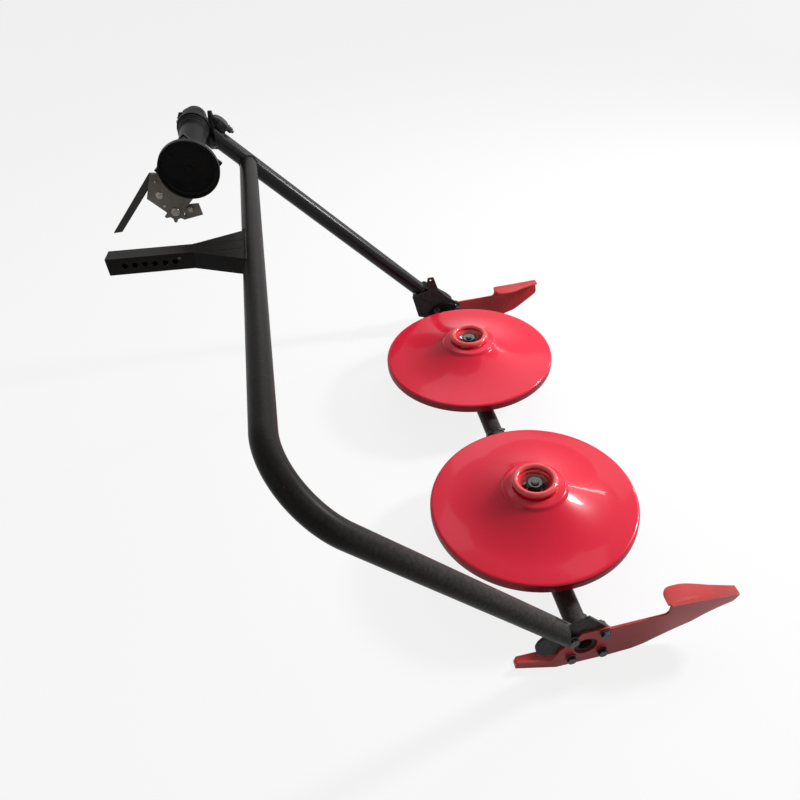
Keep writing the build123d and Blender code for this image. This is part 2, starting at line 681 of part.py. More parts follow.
# Input tube, ring and mounting plate
input_a = Vector(GEAR_X, MOUNT_PLATE_Y, gear_z)
tube_body = rod(input_a, input_b, INPUT_TUBE_R)
bearing = outboard * INPUT_BEARING_L
bored = rod(input_a, input_b, SHAFT_R + SHAFT_FIT)
bored = bored + rod(input_a + bearing, input_b - bearing, INPUT_TUBE_R - INPUT_WALL)
nodes["input_tube"] = tube_body - bored
nodes["input_ring"] = rod(input_b - outboard * INPUT_RING_T, input_b, INPUT_RING_R) - tube_body
mount_face = sheet([
    (-MOUNT_PLATE_REAR, -MOUNT_PLATE_DOWN),
    (MOUNT_PLATE_FRONT, -MOUNT_PLATE_DOWN),
    (MOUNT_PLATE_FRONT, MOUNT_PLATE_UP),
    (-MOUNT_PLATE_REAR, MOUNT_PLATE_UP),
])
mount_solid = extrude(tilted(MOUNT_PLATE_Y) * mount_face, MOUNT_PLATE_T)
shaft_hole = rod(input_a - outboard * MOUNT_PLATE_T, input_a, SHAFT_R + RUNNING_GAP)
nodes["mounting_plate"] = mount_solid - shaft_hole

# Input shaft and dish
dish_centre = Vector(GEAR_X, DISH_Y, gear_z)
shaft_solid = rod(dish_centre + outboard * DISH_T, input_b - outboard * SHAFT_GAP, SHAFT_R)
nodes["input_shaft"] = shaft_solid
dish_plane = Plane(origin=dish_centre, z_dir=(0, 1, 0))
dish = extrude(dish_plane * Circle(DISH_R), DISH_T)
dish = dish + extrude(dish_plane * (Circle(DISH_R) - Circle(DISH_R - DISH_T)), -DISH_LIP)
dish = dish + extrude(dish_plane * Circle(DISH_HUB_R), DISH_HUB_L) - shaft_solid
for step in range(DISH_BOLTS):
    turn = 2 * math.pi * step / DISH_BOLTS + math.pi / 4
    spoke = Vector(DISH_PCD / 2 * math.cos(turn), 0, DISH_PCD / 2 * math.sin(turn))
    dish = dish - rod(dish_centre + spoke, dish_centre + spoke + outboard * DISH_T, DISH_BOLT_R)
nodes["input_flange"] = dish

# Latch bracket, lever, toothed sector and back plate
nodes["latch_bracket"] = extrude(tilted(LATCH_Y) * sheet(LATCH_REAR + LATCH_FRONT), LATCH_T) - tube_body
lever_y = LATCH_Y + LEVER_T
nodes["latch_lever"] = extrude(tilted(lever_y) * sheet(LEVER_OUTLINE), LEVER_T)
teeth = []
pitch = 2 * math.pi / TOOTH_COUNT
for step in range(TOOTH_COUNT):
    middle = math.radians(TOOTH_TURN) + step * pitch
    for part, radius in (
        (-TOOTH_ROOT, SECTOR_ROOT_R),
        (-TOOTH_TIP, SECTOR_TIP_R),
        (TOOTH_TIP, SECTOR_TIP_R),
        (TOOTH_ROOT, SECTOR_ROOT_R),
    ):
        turn = middle + part * pitch
        teeth.append((radius * math.cos(turn), radius * math.sin(turn)))
sector = Pos(*SECTOR_PLACE) * sheet(teeth)
nodes["latch_sector"] = extrude(tilted(LATCH_Y + LATCH_T) * sector, LATCH_T)
back_y = LATCH_Y + 2 * LATCH_T
nodes["latch_back_plate"] = extrude(tilted(back_y) * sheet(BACK_OUTLINE), LATCH_T)

boxes = [shape.bounding_box() for shape in nodes.values()]
low = Vector(min(b.min.X for b in boxes), min(b.min.Y for b in boxes), min(b.min.Z for b in boxes))
high = Vector(max(b.max.X for b in boxes), max(b.max.Y for b in boxes), max(b.max.Z for b in boxes))
size = high - low
home = Vector(-(low.X + high.X) / 2, -(low.Y + high.Y) / 2, -low.Z)

os.makedirs("parts", exist_ok=True)
for name, shape in nodes.items():
    export_step(Pos(home.X, home.Y, home.Z) * shape, "parts/" + name + ".step")
print("pieces", len(nodes), "size", size, "home", home)
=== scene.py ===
# %% [markdown]
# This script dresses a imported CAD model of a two-disc mower: glossy red pans with fat hub rings, red skids,
# black tubes, cast gear housings and a small galvanised latch. The CAD frame is loaded once and never moved.
# Each CAD node gets the finish of its slot. Forms that a plain solid can't give are made here as new pieces.

# %% Load the frame
import json
import math

import bpy
import numpy as np
from mathutils import Matrix, Vector


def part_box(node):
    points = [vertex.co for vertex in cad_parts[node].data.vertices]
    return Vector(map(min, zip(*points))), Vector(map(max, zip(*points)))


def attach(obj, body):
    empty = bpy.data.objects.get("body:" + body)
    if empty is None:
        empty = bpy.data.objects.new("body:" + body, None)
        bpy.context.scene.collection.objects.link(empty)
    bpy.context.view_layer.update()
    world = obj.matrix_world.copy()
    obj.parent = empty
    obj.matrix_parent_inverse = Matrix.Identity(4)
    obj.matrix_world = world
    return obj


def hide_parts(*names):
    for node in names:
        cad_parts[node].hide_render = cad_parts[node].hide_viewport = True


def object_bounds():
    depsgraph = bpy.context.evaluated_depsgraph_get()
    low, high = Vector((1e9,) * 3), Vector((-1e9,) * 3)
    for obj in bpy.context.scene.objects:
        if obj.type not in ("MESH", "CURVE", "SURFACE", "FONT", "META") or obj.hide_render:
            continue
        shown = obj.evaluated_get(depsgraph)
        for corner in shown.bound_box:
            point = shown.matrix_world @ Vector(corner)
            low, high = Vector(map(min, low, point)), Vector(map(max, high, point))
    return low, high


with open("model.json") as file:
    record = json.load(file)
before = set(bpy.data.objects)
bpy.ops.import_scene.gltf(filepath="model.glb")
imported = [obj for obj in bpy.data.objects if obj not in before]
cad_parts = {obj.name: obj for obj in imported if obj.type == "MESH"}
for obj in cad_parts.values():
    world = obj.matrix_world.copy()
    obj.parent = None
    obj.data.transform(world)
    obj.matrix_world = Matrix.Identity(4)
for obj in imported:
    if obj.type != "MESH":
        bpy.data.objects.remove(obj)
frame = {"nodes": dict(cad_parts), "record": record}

cad_low, cad_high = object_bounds()
print("CAD nodes", len(frame["nodes"]), "box", [round(v, 3) for v in cad_high - cad_low])

# %% [markdown]
# All sizes come from one drawing in millimetres, whose zero is on the ground under the near disc's spindle:
# X points forward, Y from the near disc to the far one, Z up. The near pan's box gives that zero in the
# frame, and a helper turns drawing millimetres into frame metres.

# %% The drawing's zero
RIM_Z = 138.0
LIP_DROP = 23.0
DISC_GAP = 614.5
pan_low, pan_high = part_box("near_disc_shell")
ground_z = pan_low.z - (RIM_Z - LIP_DROP) / 1000
zero = np.array([(pan_low.x + pan_high.x) / 2, (pan_low.y + pan_high.y) / 2, ground_z])


def at(x, y, z):
    """Drawing millimetres to frame metres: each number over a thousand, plus the drawing's zero."""
    point = np.stack(np.broadcast_arrays(x, y, z), axis=-1).astype(float)
    return point / 1000 + zero


print("the drawing's zero is at", zero.round(4))

# %% [markdown]
# The frame is bent and welded from water pipe. Two legs rise at the same slope, one from the near skid and
# one from the far gear housing. A cross tube joins them, and the input axis runs level through the top of
# the far leg.

# %% The tubes' places
TUBE_R = 24.0
LEG_ANGLE = math.radians(47.4)
BAR_Z = 57.0
CROSS_X = -550.0
GEAR_X = -668.0
BEND_R = 153.0
SKID_T = 5.0
SKID_OUT = 352.0
RUN_Y = -343.0
FAR_SKID_Y = 961.5
FAR_OUT = FAR_SKID_Y + SKID_T
DRIVE_Y = FAR_OUT + 24.5
CROSS_Z = BAR_Z - CROSS_X * math.tan(LEG_ANGLE)
GEAR_Z = BAR_Z - GEAR_X * math.tan(LEG_ANGLE)
ROTORS = (("near", 0.0), ("far", DISC_GAP))
UP, FORWARD, REARWARD = (0, 0, 1), (1, 0, 0), (-1, 0, 0)
NEARWARD, FARWARD = (0, -1, 0), (0, 1, 0)
print("cross tube at height", round(CROSS_Z), "input axis at height", round(GEAR_Z))

# %% [markdown]
# Every new piece is a surface on a grid of rings. A ring is a closed row of points, and a stack of rings is
# joined by four-sided faces. An open stack gets a fan at each end, and a looped stack closes on itself like
# a tyre, so nothing is left open.

# %% Skin a stack of rings
def skin(rings, loop=False):
    """Points and faces over rings [row, column]: face (i, j) joins ring i to ring i + 1 and column j to
    j + 1, with the columns always wrapped round. With loop the rows are wrapped too, and otherwise each end
    ring is closed by triangles to its mean point."""
    rows, columns = rings.shape[:2]
    points = rings.reshape(-1, 3)
    i, j = np.meshgrid(np.arange(rows if loop else rows - 1), np.arange(columns), indexing="ij")
    below, above = i * columns, (i + 1) % rows * columns
    after = (j + 1) % columns
    quads = np.stack([below + j, below + after, above + after, above + j], axis=-1).reshape(-1, 4)
    if loop:
        return points, quads.tolist()
    column = np.arange(columns)
    after = (column + 1) % columns
    first, last = len(points), len(points) + 1
    top = (rows - 1) * columns
    start = np.stack([after, column, np.full(columns, first)], axis=-1)
    end = np.stack([top + column, top + after, np.full(columns, last)], axis=-1)
    points = np.vstack([points, rings[0].mean(0), rings[-1].mean(0)])
    return points, quads.tolist() + start.tolist() + end.tolist()


def gather(skins):
    """Several skins as one: each one's face numbers are raised by the count of the points before it."""
    points, faces, count = [], [], 0
    for some_points, some_faces in skins:
        points.append(some_points)
        faces += [[index + count for index in face] for face in some_faces]
        count += len(some_points)
    return np.vstack(points), faces


print("grids of rings ready")

# %% [markdown]
# A skin becomes a piece: a mesh in the frame's own place, riding on a body, wearing the finish of its slot
# or of another that is named. The signed volume tells which way its faces point, and they are turned outwards
# if need be.

# %% Make a piece
def signed_volume(points, faces):
    """A sixth of the sum, over fan triangles a b c of each face, of a dot (b cross c). It is positive when
    the faces point outwards."""
    fan = [(face[0], face[k], face[k + 1]) for face in faces for k in range(1, len(face) - 1)]
    a, b, c = (points[np.array(fan)[:, k]] for k in range(3))
    return float(np.einsum("ij,ij->i", a - points[0], np.cross(b - points[0], c - points[0])).sum() / 6)


def put_in_scene(name, data):
    """A new object that shows this mesh, lamp or camera."""
    made = bpy.data.objects.new(name, data)
    bpy.context.scene.collection.objects.link(made)
    return made


def make_piece(name, skinned, body, slot, finish=None, stands_for=(), sharp=35):
    """A mesh piece in the frame's coordinates, turned outwards, smooth up to the sharp angle in degrees. It
    wears the finish of its slot, unless another is named."""
    points, faces = skinned
    if signed_volume(points, faces) < 0:
        faces = [face[::-1] for face in faces]
    mesh = bpy.data.meshes.new(name)
    mesh.from_pydata(points.tolist(), [], faces)
    mesh.polygons.foreach_set("use_smooth", np.ones(len(mesh.polygons), bool))
    mesh.set_sharp_from_angle(angle=math.radians(sharp))
    piece = put_in_scene(name, mesh)
    piece.data.materials.append(finishes[finish or slot])
    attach(piece, body)
    if stands_for:
        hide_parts(*stands_for)
    print(name, "points", len(points), "faces", len(faces))


print("pieces ready")

# %% [markdown]
# Turned pieces, such as pans, hubs and domed rivets, are a profile carried round an axis. Tubes and weld
# beads are a circle carried along a path. Both are one formula each on whole arrays.

# %% Turn a profile, sweep a circle
def side_axes(axis):
    """Two unit vectors square to the axis and to each other, so that first cross second is the axis."""
    axis = np.asarray(axis, float) / np.linalg.norm(axis)
    helper = np.array([0.0, 0.0, 1.0]) if abs(axis[2]) < 0.9 else np.array([1.0, 0.0, 0.0])
    first = np.cross(helper, axis)
    first /= np.linalg.norm(first)
    return axis, first, np.cross(axis, first)


def turned(radius, height, foot, axis, segments):
    """Ring i, column j lies at foot + axis times height i + radius i (or radius [i, j]) times the unit
    vector at angle 2 pi j over the count of segments. Radius and height are in millimetres."""
    axis, first, second = side_axes(axis)
    turn = np.linspace(0, 2 * np.pi, segments, endpoint=False)
    spoke = np.cos(turn)[:, None] * first + np.sin(turn)[:, None] * second
    radius = np.asarray(radius, float)
    radius = radius[:, None] if radius.ndim == 1 else radius
    height = np.asarray(height, float)[:, None, None]
    return foot + (height * axis + radius[..., None] * spoke) / 1000


def swept(path, radius, segments, closed=False):
    """A circle of the given radius (one number, or one for each path point) square to the path at each
    point. The side vector is a fixed one made square to the path's direction, so the tube doesn't twist."""
    path = np.asarray(path, float)
    along = np.roll(path, -1, 0) - np.roll(path, 1, 0) if closed else np.gradient(path, axis=0)
    along /= np.linalg.norm(along, axis=1)[:, None]
    spread = np.linalg.svd(path - path.mean(0), full_matrices=False)[2][-1]
    first = spread - (along @ spread)[:, None] * along
    first /= np.linalg.norm(first, axis=1)[:, None]
    second = np.cross(along, first)
    turn = np.linspace(0, 2 * np.pi, segments, endpoint=False)
    radius = np.broadcast_to(np.asarray(radius, float) / 1000, len(path))[:, None, None]
    circle = np.cos(turn)[None, :, None] * first[:, None] + np.sin(turn)[None, :, None] * second[:, None]
    return path[:, None] + radius * circle


def rounded_loop(corners, spacing, softness):
    """A closed outline in radius and height, resampled at equal spacing along its length, then averaged
    with a bell curve whose width is softness, which rounds every corner. All in millimetres."""
    loop = np.vstack([corners, corners[:1]])
    length = np.concatenate([[0], np.cumsum(np.linalg.norm(np.diff(loop, axis=0), axis=1))])
    count = int(length[-1] / spacing)
    place = np.linspace(0, length[-1], count, endpoint=False)
    dense = np.stack([np.interp(place, length, loop[:, k]) for k in range(2)], axis=-1)
    offset = np.arange(-4, 5)
    weight = np.exp(-0.5 * (offset * length[-1] / count / softness) ** 2)
    weight /= weight.sum()
    return sum(w * np.roll(dense, -k, axis=0) for k, w in zip(offset, weight))


print("turning and sweeping ready")

# %% [markdown]
# An effect that several finishes share is a node group with named inputs, built once and placed in each
# material with its own values. It puts out only a mask, a value or a normal, and the shader stays in each
# material. Small helpers add and wire the nodes.

# %% Start and wire a node group
def start_group(name, inputs, output, kind="NodeSocketFloat"):
    """A shader node group with float inputs (name, value), the sockets that bring them, and its output's
    socket."""
    group = bpy.data.node_groups.new(name, "ShaderNodeTree")
    for label, value in inputs:
        socket = group.interface.new_socket(name=label, in_out="INPUT", socket_type="NodeSocketFloat")
        socket.default_value = value
    group.interface.new_socket(name=output, in_out="OUTPUT", socket_type=kind)
    enter, leave = group.nodes.new("NodeGroupInput"), group.nodes.new("NodeGroupOutput")
    return group, enter.outputs, leave.inputs[0]


def add(tree, kind, settings=None, **inputs):
    """A node with its properties set and its inputs filled: a socket is linked, any other value written."""
    node = tree.nodes.new(kind)
    for label, value in (settings or {}).items():
        setattr(node, label, value)
    for label, value in inputs.items():
        key = int(label[1:]) if label[0] == "i" and label[1:].isdigit() else label.replace("_", " ")
        if isinstance(value, bpy.types.NodeSocket):
            tree.links.new(value, node.inputs[key])
        else:
            node.inputs[key].default_value = value
    return node


def maths(tree, operation, a, b, clamp=False):
    """One Math node's result."""
    return add(tree, "ShaderNodeMath", {"operation": operation, "use_clamp": clamp}, i0=a, i1=b).outputs[0]


def step_up(tree, value, low, high):
    """Zero below low, one above high, and a smooth rise between them."""
    settings = {"interpolation_type": "SMOOTHSTEP"}
    return add(tree, "ShaderNodeMapRange", settings, Value=value, From_Min=low, From_Max=high).outputs[0]


def noise(tree, scale, detail, stretch=(1, 1, 1)):
    """Noise on Object coordinates, drawn out along an axis where stretch is small there."""
    place = add(tree, "ShaderNodeTexCoord").outputs["Object"]
    place = add(tree, "ShaderNodeMapping", Vector=place, Scale=stretch).outputs[0]
    return add(tree, "ShaderNodeTexNoise", Vector=place, Scale=scale, Detail=detail).outputs["Fac"]


def cells(tree, scale, output):
    """The cell pattern on Object coordinates: each cell's own colour, or the distance from its middle."""
    place = add(tree, "ShaderNodeTexCoord").outputs["Object"]
    return add(tree, "ShaderNodeTexVoronoi", Vector=place, Scale=scale).outputs[output]


def upright_part(tree, vector):
    """The Z part of a vector."""
    return add(tree, "ShaderNodeSeparateXYZ", Vector=vector).outputs["Z"]


print("node helpers ready")

# %% [markdown]
# Sprayed enamel dries with a faint peel, and a sand casting keeps the grain of its mould with slow lumps
# under it. Both are heights of a few hundredths of a millimetre, made from noise, and a Bump node turns the
# height into a normal.

# %% Orange peel and casting grain
LUMP_SCALE = 60.0


def bump_out(group, height, leave):
    """Ends a group with the normal of a surface that rises by height in metres."""
    bump = add(group, "ShaderNodeBump", Height=height, Distance=1.0, Strength=1.0)
    group.links.new(bump.outputs[0], leave)


inputs = [("Scale", 300.0), ("Height", 0.00003)]
peel, given, leave = start_group("orange_peel", inputs, "Normal", "NodeSocketVector")
fine = noise(peel, given["Scale"], 2.0)
bump_out(peel, maths(peel, "MULTIPLY", fine, given["Height"]), leave)

inputs = [("Scale", 700.0), ("Height", 0.0002)]
grain, given, leave = start_group("cast_grain", inputs, "Normal", "NodeSocketVector")
pits = noise(grain, given["Scale"], 4.0)
lumps = noise(grain, LUMP_SCALE, 2.0)
bump_out(grain, maths(grain, "MULTIPLY", maths(grain, "ADD", pits, lumps), given["Height"]), leave)
print("relief groups", peel.name, grain.name)

# %% [markdown]
# Paint rubs off the edges first. A Bevel node gives the normal of a rounded edge, and where it leans away from
# the true one there is an edge. Dust settles where the surface faces up. Scuffs are noise drawn out into long
# marks in two directions.

# %% Worn edges, dust and scuffs
worn, given, leave = start_group("worn_edges", [("Width", 0.0012), ("Amount", 0.6)], "Mask")
soft_normal = add(worn, "ShaderNodeBevel", {"samples": 4}, Radius=given["Width"]).outputs[0]
hard_normal = add(worn, "ShaderNodeNewGeometry").outputs["Normal"]
dot = add(worn, "ShaderNodeVectorMath", {"operation": "DOT_PRODUCT"}, i0=soft_normal, i1=hard_normal)
edge = step_up(worn, maths(worn, "SUBTRACT", 1.0, dot.outputs["Value"]), 0.02, 0.14)
patchy = step_up(worn, noise(worn, 90.0, 5.0), 0.42, 0.62)
mask = maths(worn, "MULTIPLY", maths(worn, "MULTIPLY", edge, patchy), given["Amount"], True)
worn.links.new(mask, leave)

dust, given, leave = start_group("settled_dust", [("Amount", 0.2), ("Scale", 14.0)], "Mask")
upward = upright_part(dust, add(dust, "ShaderNodeNewGeometry").outputs["Normal"])
cloud = step_up(dust, noise(dust, given["Scale"], 6.0), 0.4, 0.7)
mask = maths(dust, "MULTIPLY", step_up(dust, upward, 0.3, 1.0), cloud)
dust.links.new(maths(dust, "MULTIPLY", mask, given["Amount"], True), leave)

scuff, given, leave = start_group("scuffs", [("Amount", 0.4), ("Scale", 60.0)], "Mask")
long_marks = step_up(scuff, noise(scuff, given["Scale"], 4.0, (0.12, 1, 1)), 0.6, 0.72)
cross_marks = step_up(scuff, noise(scuff, given["Scale"], 5.0, (1, 0.15, 0.6)), 0.64, 0.74)
either = maths(scuff, "MAXIMUM", long_marks, cross_marks)
scuff.links.new(maths(scuff, "MULTIPLY", either, given["Amount"], True), leave)
print("wear groups", worn.name, dust.name, scuff.name)

# %% [markdown]
# Two effects come from a cell pattern. Hot zinc freezes in crystals, and the grey of a cell's own colour
# stands for one crystal. A chip in the paint is the middle of a cell, let through where a slow noise is high.

# %% Zinc crystals and paint chips
spangle, given, leave = start_group("zinc_crystals", [("Scale", 160.0)], "Value")
crystal = cells(spangle, given["Scale"], "Color")
grey = add(spangle, "ShaderNodeSeparateColor", Color=crystal).outputs[0]
spangle.links.new(grey, leave)

chips, given, leave = start_group("paint_chips", [("Scale", 45.0), ("Amount", 0.5)], "Mask")
from_middle = cells(chips, given["Scale"], "Distance")
spot = maths(chips, "SUBTRACT", 1.0, step_up(chips, from_middle, 0.07, 0.13))
spot = maths(chips, "MULTIPLY", spot, step_up(chips, noise(chips, 9.0, 2.0), 0.52, 0.60))
chips.links.new(maths(chips, "MULTIPLY", spot, given["Amount"], True), leave)
print("node groups", [group.name for group in bpy.data.node_groups])

# %% [markdown]
# One function lays down every finish, in the order in which things happen to it: the coat and its slow
# change of shade, then scuffs, bare edges, and dust on top. Scuffs and dust also dull the shine.

# %% A finish
SCUFF_DULLS = 0.25
SHADE_DULLS = 0.06
DUST_DULLS = 0.4
DUST_COLOUR = (0.42, 0.38, 0.33)
COAT_ROUGH = 0.05
reliefs = {"enamel": (peel, 260.0), "casting": (grain, 650.0)}
finishes = {}


def group_node(tree, group, **inputs):
    """One of the shared effects, with this finish's own values."""
    node = tree.nodes.new("ShaderNodeGroup")
    node.node_tree = group
    for label, value in inputs.items():
        node.inputs[label].default_value = value
    return node.outputs[0]


def colour(red, green, blue):
    """A linear colour with full alpha."""
    return (red, green, blue, 1.0)


def mix(tree, amount, first, second):
    """First where amount is nought, second where it is one. Both are linear colours."""
    return add(tree, "ShaderNodeMix", {"data_type": "RGBA"}, i0=amount, i6=first, i7=second).outputs[2]


def finish(name, base, shade, rough, relief, *, dusty, rubbed, rubbed_to=None, edges=0.0, bare=None,
           metal=0.0, coat=0.0, blotch=9.0, gloss=0.5):
    """A material that blends base and shade by slow noise, then adds the wear. Relief is its kind and its
    height in microns. Gloss is the shader's specular level, which is low for old black paint."""
    material = bpy.data.materials.new(name)
    material.use_nodes = True
    tree = material.node_tree
    shader = tree.nodes["Principled BSDF"]
    slow = step_up(tree, noise(tree, blotch, 2.0), 0.30, 0.72)
    tint = mix(tree, slow, colour(*base), colour(*shade))
    marks = group_node(tree, scuff, Amount=rubbed)
    tint = mix(tree, marks, tint, colour(*(rubbed_to or [min(1, c * 1.5 + 0.02) for c in base])))
    roughness = maths(tree, "ADD", rough, maths(tree, "MULTIPLY", marks, SCUFF_DULLS))
    roughness = maths(tree, "ADD", roughness, maths(tree, "MULTIPLY", slow, SHADE_DULLS))
    if edges:
        tint = mix(tree, group_node(tree, worn, Amount=edges), tint, colour(*bare))
    powder = group_node(tree, dust, Amount=dusty)
    tint = mix(tree, powder, tint, colour(*DUST_COLOUR))
    roughness = maths(tree, "ADD", roughness, maths(tree, "MULTIPLY", powder, DUST_DULLS), True)
    kind, microns = relief
    group, scale = reliefs[kind]
    tree.links.new(tint, shader.inputs["Base Color"])
    tree.links.new(roughness, shader.inputs["Roughness"])
    tree.links.new(group_node(tree, group, Scale=scale, Height=microns / 1e6), shader.inputs["Normal"])
    shader.inputs["Metallic"].default_value = metal
    shader.inputs["Specular IOR Level"].default_value = gloss
    shader.inputs["Coat Weight"].default_value = coat
    shader.inputs["Coat Roughness"].default_value = COAT_ROUGH
    finishes[name] = material


print("finish ready, reliefs", sorted(reliefs))

# %% [markdown]
# The pans and hubs carry a fresh gloss red with a clear coat. The skids were painted in a duller red, and
# the ground rubs them: their scuffs and edges are paler and less even.

# %% Red enamels
finish("disc_red", (0.83, 0.009, 0.046), (0.77, 0.008, 0.038), 0.21, ("enamel", 8), coat=0.22, edges=0.30,
       bare=(0.35, 0.03, 0.03), dusty=0.003, rubbed=0.01, blotch=3.0, gloss=0.14)
finish("hub_red", (0.86, 0.045, 0.055), (0.74, 0.028, 0.042), 0.24, ("enamel", 30), coat=0.45, dusty=0.0,
       rubbed=0.04, gloss=0.3)
finish("skid_red", (0.60, 0.034, 0.034), (0.46, 0.026, 0.028), 0.40, ("enamel", 30), coat=0.08, edges=0.6,
       bare=(0.80, 0.24, 0.20), dusty=0.08, rubbed=0.22, rubbed_to=(0.70, 0.16, 0.13), gloss=0.2)
print("reds", sorted(finishes))

# %% [markdown]
# The blacks differ in gloss more than in colour. The drive tube still shines, the long frame tube is rubbed
# to satin, and the castings are dull and grainy. Their specular level is low, because old black paint looks
# grey if it reflects a white room as strongly as new plastic.

# %% Black enamels and painted castings
finish("black_gloss", (0.005, 0.005, 0.007), (0.009, 0.008, 0.010), 0.24, ("enamel", 0.4), edges=0.2,
       bare=(0.03, 0.03, 0.035), dusty=0.01, rubbed=0.03, rubbed_to=(0.04, 0.04, 0.045), gloss=0.18)
finish("black_satin", (0.009, 0.008, 0.008), (0.013, 0.012, 0.011), 0.32, ("enamel", 30), edges=0.35,
       bare=(0.10, 0.09, 0.085), dusty=0.01, rubbed=0.22, rubbed_to=(0.048, 0.050, 0.058), gloss=0.045)
finish("black_casting", (0.006, 0.006, 0.006), (0.013, 0.011, 0.010), 0.42, ("casting", 140), coat=0.02,
       edges=0.3, bare=(0.09, 0.085, 0.08), dusty=0.03, rubbed=0.10, rubbed_to=(0.035, 0.033, 0.03),
       gloss=0.05)
finish("black_alloy", (0.006, 0.006, 0.007), (0.012, 0.011, 0.011), 0.36, ("casting", 100), edges=0.4,
       bare=(0.10, 0.10, 0.10), dusty=0.01, rubbed=0.10, rubbed_to=(0.03, 0.029, 0.028), gloss=0.025)
finish("clamp_iron", (0.024, 0.024, 0.026), (0.013, 0.013, 0.014), 0.48, ("casting", 120), edges=0.5,
       bare=(0.20, 0.20, 0.20), dusty=0.05, rubbed=0.25, rubbed_to=(0.12, 0.12, 0.125), gloss=0.3)
print("finishes so far", len(finishes))

# %% [markdown]
# Bare metal is the same shader with Metallic at or near one: oiled bolts, bright zinc on the latch's rivets,
# ground knives and a dirty lever. The nuts in the hubs are so wet with oil that they are made as black paint
# with a clear coat.

# %% Bare and oily steels
finish("dark_steel", (0.050, 0.048, 0.046), (0.030, 0.029, 0.028), 0.30, ("enamel", 20), metal=1.0,
       edges=0.5, bare=(0.5, 0.49, 0.47), dusty=0.03, rubbed=0.2, rubbed_to=(0.12, 0.12, 0.12))
finish("bright_zinc", (0.24, 0.23, 0.21), (0.15, 0.14, 0.125), 0.34, ("enamel", 30), metal=1.0, edges=0.4,
       bare=(0.5, 0.49, 0.46), dusty=0.03, rubbed=0.15)
finish("oily_steel", (0.005, 0.005, 0.005), (0.009, 0.008, 0.008), 0.16, ("casting", 100), coat=0.5,
       edges=0.4, bare=(0.05, 0.05, 0.05), dusty=0.0, rubbed=0.1, gloss=0.3)
finish("blade_steel", (0.26, 0.25, 0.24), (0.15, 0.145, 0.14), 0.34, ("enamel", 20), metal=1.0, dusty=0.03,
       rubbed=0.2)
finish("lever_steel", (0.035, 0.031, 0.028), (0.020, 0.018, 0.016), 0.45, ("enamel", 40), metal=0.7,
       edges=0.5, bare=(0.14, 0.13, 0.12), dusty=0.05, rubbed=0.15)
print("finishes", sorted(finishes))

# %% [markdown]
# Some finishes change with place: the crystals of zinc, or dirt that lies low down. Each change is a mask
# that mixes one more colour over what the shader already has, or adds to its roughness.

# %% Change a finish by a mask
def paint_over(name, amount, tint):
    """A colour laid over a finish's own, by a mask from nought to one."""
    tree = finishes[name].node_tree
    base_colour = tree.nodes["Principled BSDF"].inputs["Base Color"]
    tree.links.new(mix(tree, amount, base_colour.links[0].from_socket, colour(*tint)), base_colour)


def roughen(name, amount):
    """An amount added to a finish's own roughness, up to one."""
    tree = finishes[name].node_tree
    roughness = tree.nodes["Principled BSDF"].inputs["Roughness"]
    tree.links.new(maths(tree, "ADD", roughness.links[0].from_socket, amount, True), roughness)


def low_down(tree, low, high):
    """One at points under the height low, nought over the height high, in metres, smooth between them."""
    height = upright_part(tree, add(tree, "ShaderNodeTexCoord").outputs["Object"])
    return maths(tree, "SUBTRACT", 1.0, step_up(tree, height, low, high))


print("masks by place ready")

# %% [markdown]
# Hot-dip zinc isn't an even grey: it freezes in crystals a few millimetres across, each a little lighter or
# darker, and they shine differently. The crystal group drives both the colour and the roughness.

# %% Galvanised steel
CRYSTAL_SCALE = 190.0
finish("galvanised", (0.105, 0.095, 0.080), (0.062, 0.056, 0.048), 0.42, ("enamel", 40), metal=0.85,
       edges=0.4, bare=(0.32, 0.30, 0.27), dusty=0.06, rubbed=0.2, rubbed_to=(0.16, 0.15, 0.13))
tree = finishes["galvanised"].node_tree
crystals = group_node(tree, spangle, Scale=CRYSTAL_SCALE)
paint_over("galvanised", maths(tree, "MULTIPLY", crystals, 0.30), (0.17, 0.16, 0.14))
roughen("galvanised", maths(tree, "MULTIPLY", crystals, 0.14))
print("crystals about", round(1000 / CRYSTAL_SCALE, 1), "mm across")

# %% [markdown]
# Black enamel on a tube fails in spots: a stone knocks a chip out and the steel rusts there. The satin tubes
# are also greyer low down, where dried soil clings in small patches. The height of the point tells how much.

# %% Chips, rust and dried soil on black enamel
RUST = (0.20, 0.085, 0.045)
SOIL = (0.115, 0.102, 0.098)
for name, amount in (("black_satin", 0.8), ("black_gloss", 0.4)):
    struck = group_node(finishes[name].node_tree, chips, Scale=48.0, Amount=amount)
    paint_over(name, struck, RUST)
tree = finishes["black_satin"].node_tree
near_ground = low_down(tree, 0.20, 0.85)
patchy = maths(tree, "MULTIPLY", step_up(tree, noise(tree, 150.0, 3.0), 0.15, 0.85), 0.6)
soiled = maths(tree, "MULTIPLY", near_ground, maths(tree, "ADD", 0.35, patchy))
paint_over("black_satin", maths(tree, "MULTIPLY", soiled, 0.7, True), SOIL)
print("rust", RUST, "soil", SOIL)

# %% [markdown]
# The cup of the hub goes from red to nearly black with depth: oil and dirt lie round the nut, and the
# darkening is also painted shade in the recess. Below its rolled ring the hub is only seen from inside, so the
# height of the point is enough to tell that part.

# %% Grease and painted shade in the hub's cup
cup_top = float(at(0, 0, RIM_Z + 57)[2])
tree = finishes["hub_red"].node_tree
# Nearly black below the ring: oil and dirt round the nut, plus painted shade in the recess
grease_and_shade = maths(tree, "MULTIPLY", low_down(tree, cup_top - 0.014, cup_top), 0.9)
paint_over("hub_red", grease_and_shade, (0.035, 0.008, 0.008))
print("grease below", round(cup_top, 4), "m")
